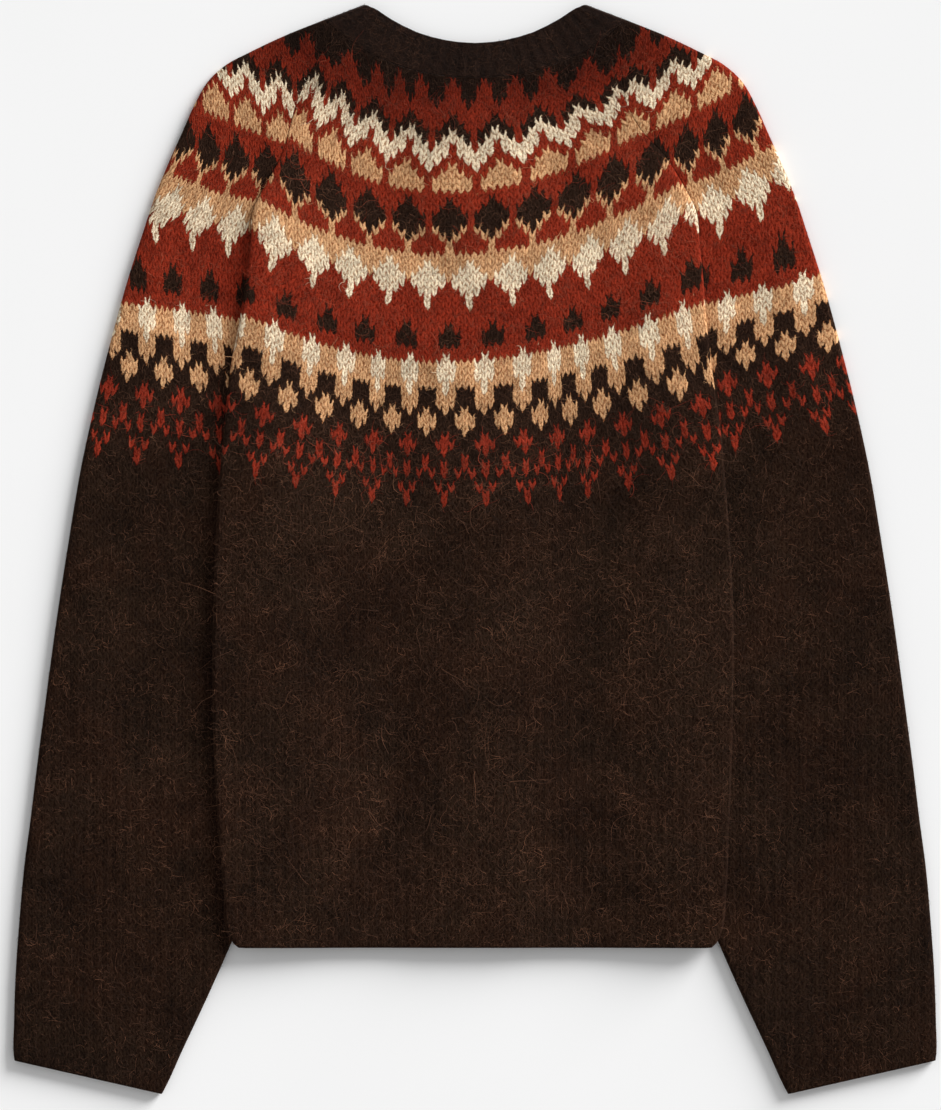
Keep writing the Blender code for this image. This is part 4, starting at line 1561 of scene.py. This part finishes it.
def pale_roots(numbers: Array) -> Array:
    """Whether each hair's stitch is worked in one of the light yarns."""
    pale = {yarn.letter for yarn in Yarn if yarn.pale}
    table = np.array([[letter in pale for letter in text] for text in CHART])
    half = np.abs(numbers[:, 0] % 1.0 - 0.5)
    row = np.floor(numbers[:, 1] + (half * 2.0 - 0.5) * LEG).astype(int)
    column = np.floor(numbers[:, 0]).astype(int) % int(REPEAT)
    column = np.minimum(column, int(REPEAT) - column)
    inside = (row >= 0) & (row < len(CHART))
    return inside & table[np.clip(row, 0, len(CHART) - 1), column]


@dataclass
class Hairs:
    """Loose hairs on a piece's outer face: thin curled ribbons in one mesh.

    Lengths, widths and heights are in metres, and turns in radians.
    """

    name: str
    on: str
    count: int
    seed: int
    shortest: float = 2.0 * MM
    usual: float = 5.0 * MM
    longest: float = 15.0 * MM
    spread: float = 0.45       # of the lengths' logarithms
    width: float = 0.17 * MM
    lift: float = 0.9 * MM
    foot: float = 0.05 * MM
    curl: float = 2.2
    sway: float = 0.7
    tilt: float = 0.8
    steps: int = 3
    paleness: float = 0.0      # the least share of paleness that a hair has
    at_edges: float = 0.25     # share of its length that a hair keeps at steep edges
    on_pale: float = 0.42      # share that it keeps over light yarn
    outside: float = 0.12      # share that it keeps if it would leave the outline
    under: float = 0.14        # share of hairs that faces turned down have
    upper_only: bool = False
    ribbed: bool = False

    def roots(self, face: Face, chance: np.random.Generator) -> tuple[Array, Array, Array]:
        """Places, normals and stitch numbers where hairs leave the cloth."""
        corners = face.points[face.quads]
        normals = np.cross(corners[:, 2] - corners[:, 0], corners[:, 3] - corners[:, 1])
        areas = np.linalg.norm(normals, axis=1) / 2.0
        normals = normals / np.maximum(areas[:, None] * 2.0, 1e-12)
        weights = areas.copy()
        if self.upper_only:
            weights *= np.where(normals[:, 2] > 0.0, 1.0, self.under)
        weights /= weights.sum()
        chosen = chance.choice(len(weights), size=self.count, p=weights)
        a, b = chance.random((2, self.count))
        shares = np.stack(((1 - a) * (1 - b), a * (1 - b), a * b, (1 - a) * b), axis=1)
        places = (corners[chosen] * shares[:, :, None]).sum(axis=1)
        numbers = (face.numbers[chosen] * shares[:, :, None]).sum(axis=1)
        return places, normals[chosen], numbers

    def ribbons(
        self, chance: np.random.Generator, places: Array, normals: Array, keep: Array,
        outline: Outline,
    ) -> Array:
        """Both edges of each hair, step by step.

        Args:
            chance: Where the hairs' differences come from.
            places: Their roots.
            normals: The cloth's normals there.
            keep: The share of its length that each hair keeps.
            outline: Where the garment covers the floor.

        Returns:
            Points by hair, step and edge.
        """
        n, k = self.count, self.steps
        length = self.usual * np.exp(chance.normal(0.0, self.spread, n))
        length = np.clip(length, self.shortest, self.longest) * keep
        heading = chance.normal(0.0, 1.0, (n, 3))
        heading[:, 0] *= 1.25
        heading -= (heading * normals).sum(axis=1)[:, None] * normals
        heading /= np.linalg.norm(heading, axis=1)[:, None]
        heading, sideways = heading[:, None, :], np.cross(normals, heading)[:, None, :]
        root, normal = places[:, None, :], normals[:, None, :]
        turn = chance.normal(0.0, self.curl, n)
        sway = chance.normal(0.0, self.sway, n)
        height = self.lift * chance.random(n) ** 1.6
        steps = np.linspace(0.0, 1.0, k + 1)
        angle = turn[:, None] * steps + sway[:, None] * np.sin(steps * 6.3)
        middle = (angle[:, 1:] + angle[:, :-1]) / 2.0
        step, zero = (length / k)[:, None], np.zeros((n, 1))
        run = np.concatenate((zero, np.cumsum(np.cos(middle) * step, axis=1)), axis=1)
        off = np.concatenate((zero, np.cumsum(np.sin(middle) * step, axis=1)), axis=1)
        flat = run[:, :, None] * heading + off[:, :, None] * sideways
        inside = outline.holds((root + flat)[:, :, :2]).all(axis=1)
        flat *= np.where(inside, 1.0, self.outside)[:, None, None]
        tip = chance.random(n)[:, None]
        up = self.foot + height[:, None] * (np.sin(steps * math.pi) * (1 - tip) + steps * tip)
        line = root + flat + up[:, :, None] * normal
        across = sideways * np.cos(angle)[:, :, None] - heading * np.sin(angle)[:, :, None]
        across = across + normal * chance.uniform(-self.tilt, self.tilt, n)[:, None, None]
        broad = self.width / 2.0 * chance.uniform(0.7, 1.2, n)[:, None] * (1.0 - 0.6 * steps)
        edge = across * broad[:, :, None]
        points = np.stack((line - edge, line + edge), axis=2)
        points[:, :, :, 2] = np.maximum(points[:, :, :, 2], 0.0)
        return points

    def mesh(self, points: Array) -> bpy.types.Mesh:
        """One mesh of all the ribbons."""
        n, k = self.count, self.steps
        first = (np.arange(n) * 2 * (k + 1))[:, None] + np.arange(k) * 2
        quads = np.stack((first, first + 1, first + 3, first + 2), axis=2).reshape(-1, 4)
        mesh = bpy.data.meshes.new(self.name)
        mesh.vertices.add(n * 2 * (k + 1))
        mesh.vertices.foreach_set("co", points.ravel())
        mesh.loops.add(quads.size)
        mesh.loops.foreach_set("vertex_index", quads.ravel())
        mesh.polygons.add(len(quads))
        mesh.polygons.foreach_set("loop_start", np.arange(0, quads.size, 4))
        mesh.update(calc_edges=True)
        return mesh

    def build(self, tailor: Tailor) -> bpy.types.Object:
        """Makes the hairs and hands them over with their cloth."""
        chance = np.random.default_rng(self.seed)
        places, normals, numbers = self.roots(tailor.faces[self.on], chance)
        keep = np.where(np.abs(normals[:, 2]) > 0.8, 1.0, self.at_edges)
        if not self.ribbed:
            keep *= np.where(pale_roots(numbers), self.on_pale, 1.0)
        mesh = self.mesh(self.ribbons(chance, places, normals, keep, tailor.outline))
        tone = np.stack((chance.random(self.count), chance.random(self.count)), axis=1)
        tone[:, 0] = self.paleness + (1.0 - self.paleness) * tone[:, 0]
        for layer, values in (("stitches", numbers), ("tone", tone)):
            per_corner = np.repeat(values, self.steps * 4, axis=0)
            mesh.uv_layers.new(name=layer).data.foreach_set("uv", per_corner.ravel())
        plain = tailor.sleeve_hair if self.on.startswith("sleeve") else tailor.hair
        piece = placed(self.name, mesh, tailor.rib_hair if self.ribbed else plain)
        tailor.hand_over(piece, Slot.RIB if self.ribbed else Slot.KNIT)
        return piece


# ---- studio ----------------------------------------------------------------------------
@dataclass
class Studio:
    """Floor, camera and soft light."""

    middle: tuple[float, float] = (-3.0 * MM, -4.2 * MM)
    cloth_height: float = 10.0 * MM
    frame_height: float = 740.0 * MM
    lens: float = 200.0
    sensor: float = 36.0
    floor_size: float = 3.0
    even_light: float = 0.461
    key_light: float = 5.0
    key_spread: float = math.radians(32.0)
    key_from: tuple[float, float, float] = (0.76, 0.70, 0.36)

    def floor(self) -> None:
        """A plain pale floor."""
        shape = bmesh.new()
        bmesh.ops.create_grid(shape, x_segments=2, y_segments=2, size=self.floor_size)
        floor = placed("floor", mesh_of(shape, "floor"), FloorFinish().build())
        floor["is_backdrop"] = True

    def camera(self) -> None:
        """A long lens straight above, with the neck at the top of the picture."""
        data = bpy.data.cameras.new("camera")
        data.lens = self.lens
        data.sensor_width = self.sensor
        data.clip_end = 20.0
        distance = self.frame_height * self.lens / self.sensor
        camera = bpy.data.objects.new("camera", data)
        camera.location = (*self.middle, self.cloth_height + distance)
        bpy.context.scene.collection.objects.link(camera)
        bpy.context.scene.camera = camera

    def light(self) -> None:
        """A broad key from the upper right and even light all round."""
        scene = bpy.context.scene
        scene.view_settings.view_transform = "Standard"
        world = bpy.data.worlds.new("studio")
        world.use_nodes = True
        background = world.node_tree.nodes["Background"]
        background.inputs["Color"].default_value = (1.0, 1.0, 1.0, 1.0)
        background.inputs["Strength"].default_value = self.even_light
        scene.world = world
        data = bpy.data.lights.new("key", "SUN")
        data.energy = self.key_light
        data.angle = self.key_spread
        key = bpy.data.objects.new("key", data)
        key.rotation_mode = "QUATERNION"
        key.rotation_quaternion = Vector(self.key_from).to_track_quat("Z", "Y")
        scene.collection.objects.link(key)


def corners() -> list[list[float]]:
    """The shown object's lowest and highest corners as plain lists."""
    return [[float(value) for value in corner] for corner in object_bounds()]


def main() -> None:
    """Builds the garment and the studio, and reports each piece."""
    logging.basicConfig(level=logging.INFO, format="%(message)s")
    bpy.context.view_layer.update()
    for old in [o for o in bpy.data.objects if o.type in {"LIGHT", "CAMERA"}]:
        bpy.data.objects.remove(old, do_unlink=True)
    cube = bpy.data.objects.get("Cube")
    if cube is not None:
        bpy.data.objects.remove(cube, do_unlink=True)
    studio = Studio()
    studio.camera()
    tailor = Tailor()
    cloths = {f"sleeve_{side.word}": Sleeve(side).build(tailor) for side in Side}
    cloths |= {f"front_{side.word}": Front(side).build(tailor) for side in Side}
    for side, rise in ((Side.LEFT, LAY.left_rise), (Side.RIGHT, LAY.right_rise)):
        band = ButtonBand(side, rise)
        cloth = band.build(tailor)
    Buttons().build(tailor)
    cloths["neckband"] = Neckband().build(tailor)
    cloths["back"] = Back().build(tailor)
    tailor.outline = Outline(list(tailor.faces.values()))
    for side in Side:
        name = f"sleeve_{side.word}"
        hairs = Hairs(f"{name}_hairs", f"{name}_cloth", 19000, 11 + side.value, upper_only=True)
        hairs.build(tailor)
        name = f"front_{side.word}"
        hairs = Hairs(f"{name}_hairs", f"{name}_cloth", 4500, 21 + side.value)
        hairs.build(tailor)
    hairs = Hairs("neckband_hairs", "neckband_cloth", 3800, 31, ribbed=True, upper_only=True)
    hairs.build(tailor)
    layers = [Hairs(f"back_hairs_{k}", "back_cloth", 22000, 41 + k) for k in (1, 2)]
    layers.append(Hairs("back_hairs_long", "back_cloth", 3000, 44, usual=12.0 * MM,
                        longest=28.0 * MM, lift=1.6 * MM, steps=8, curl=1.6, paleness=0.5))
    [hairs.build(tailor) for hairs in layers]
    studio.floor()
    studio.light()
    LOG.info("%d pieces", len(tailor.made))


if __name__ == "__main__":
    main()
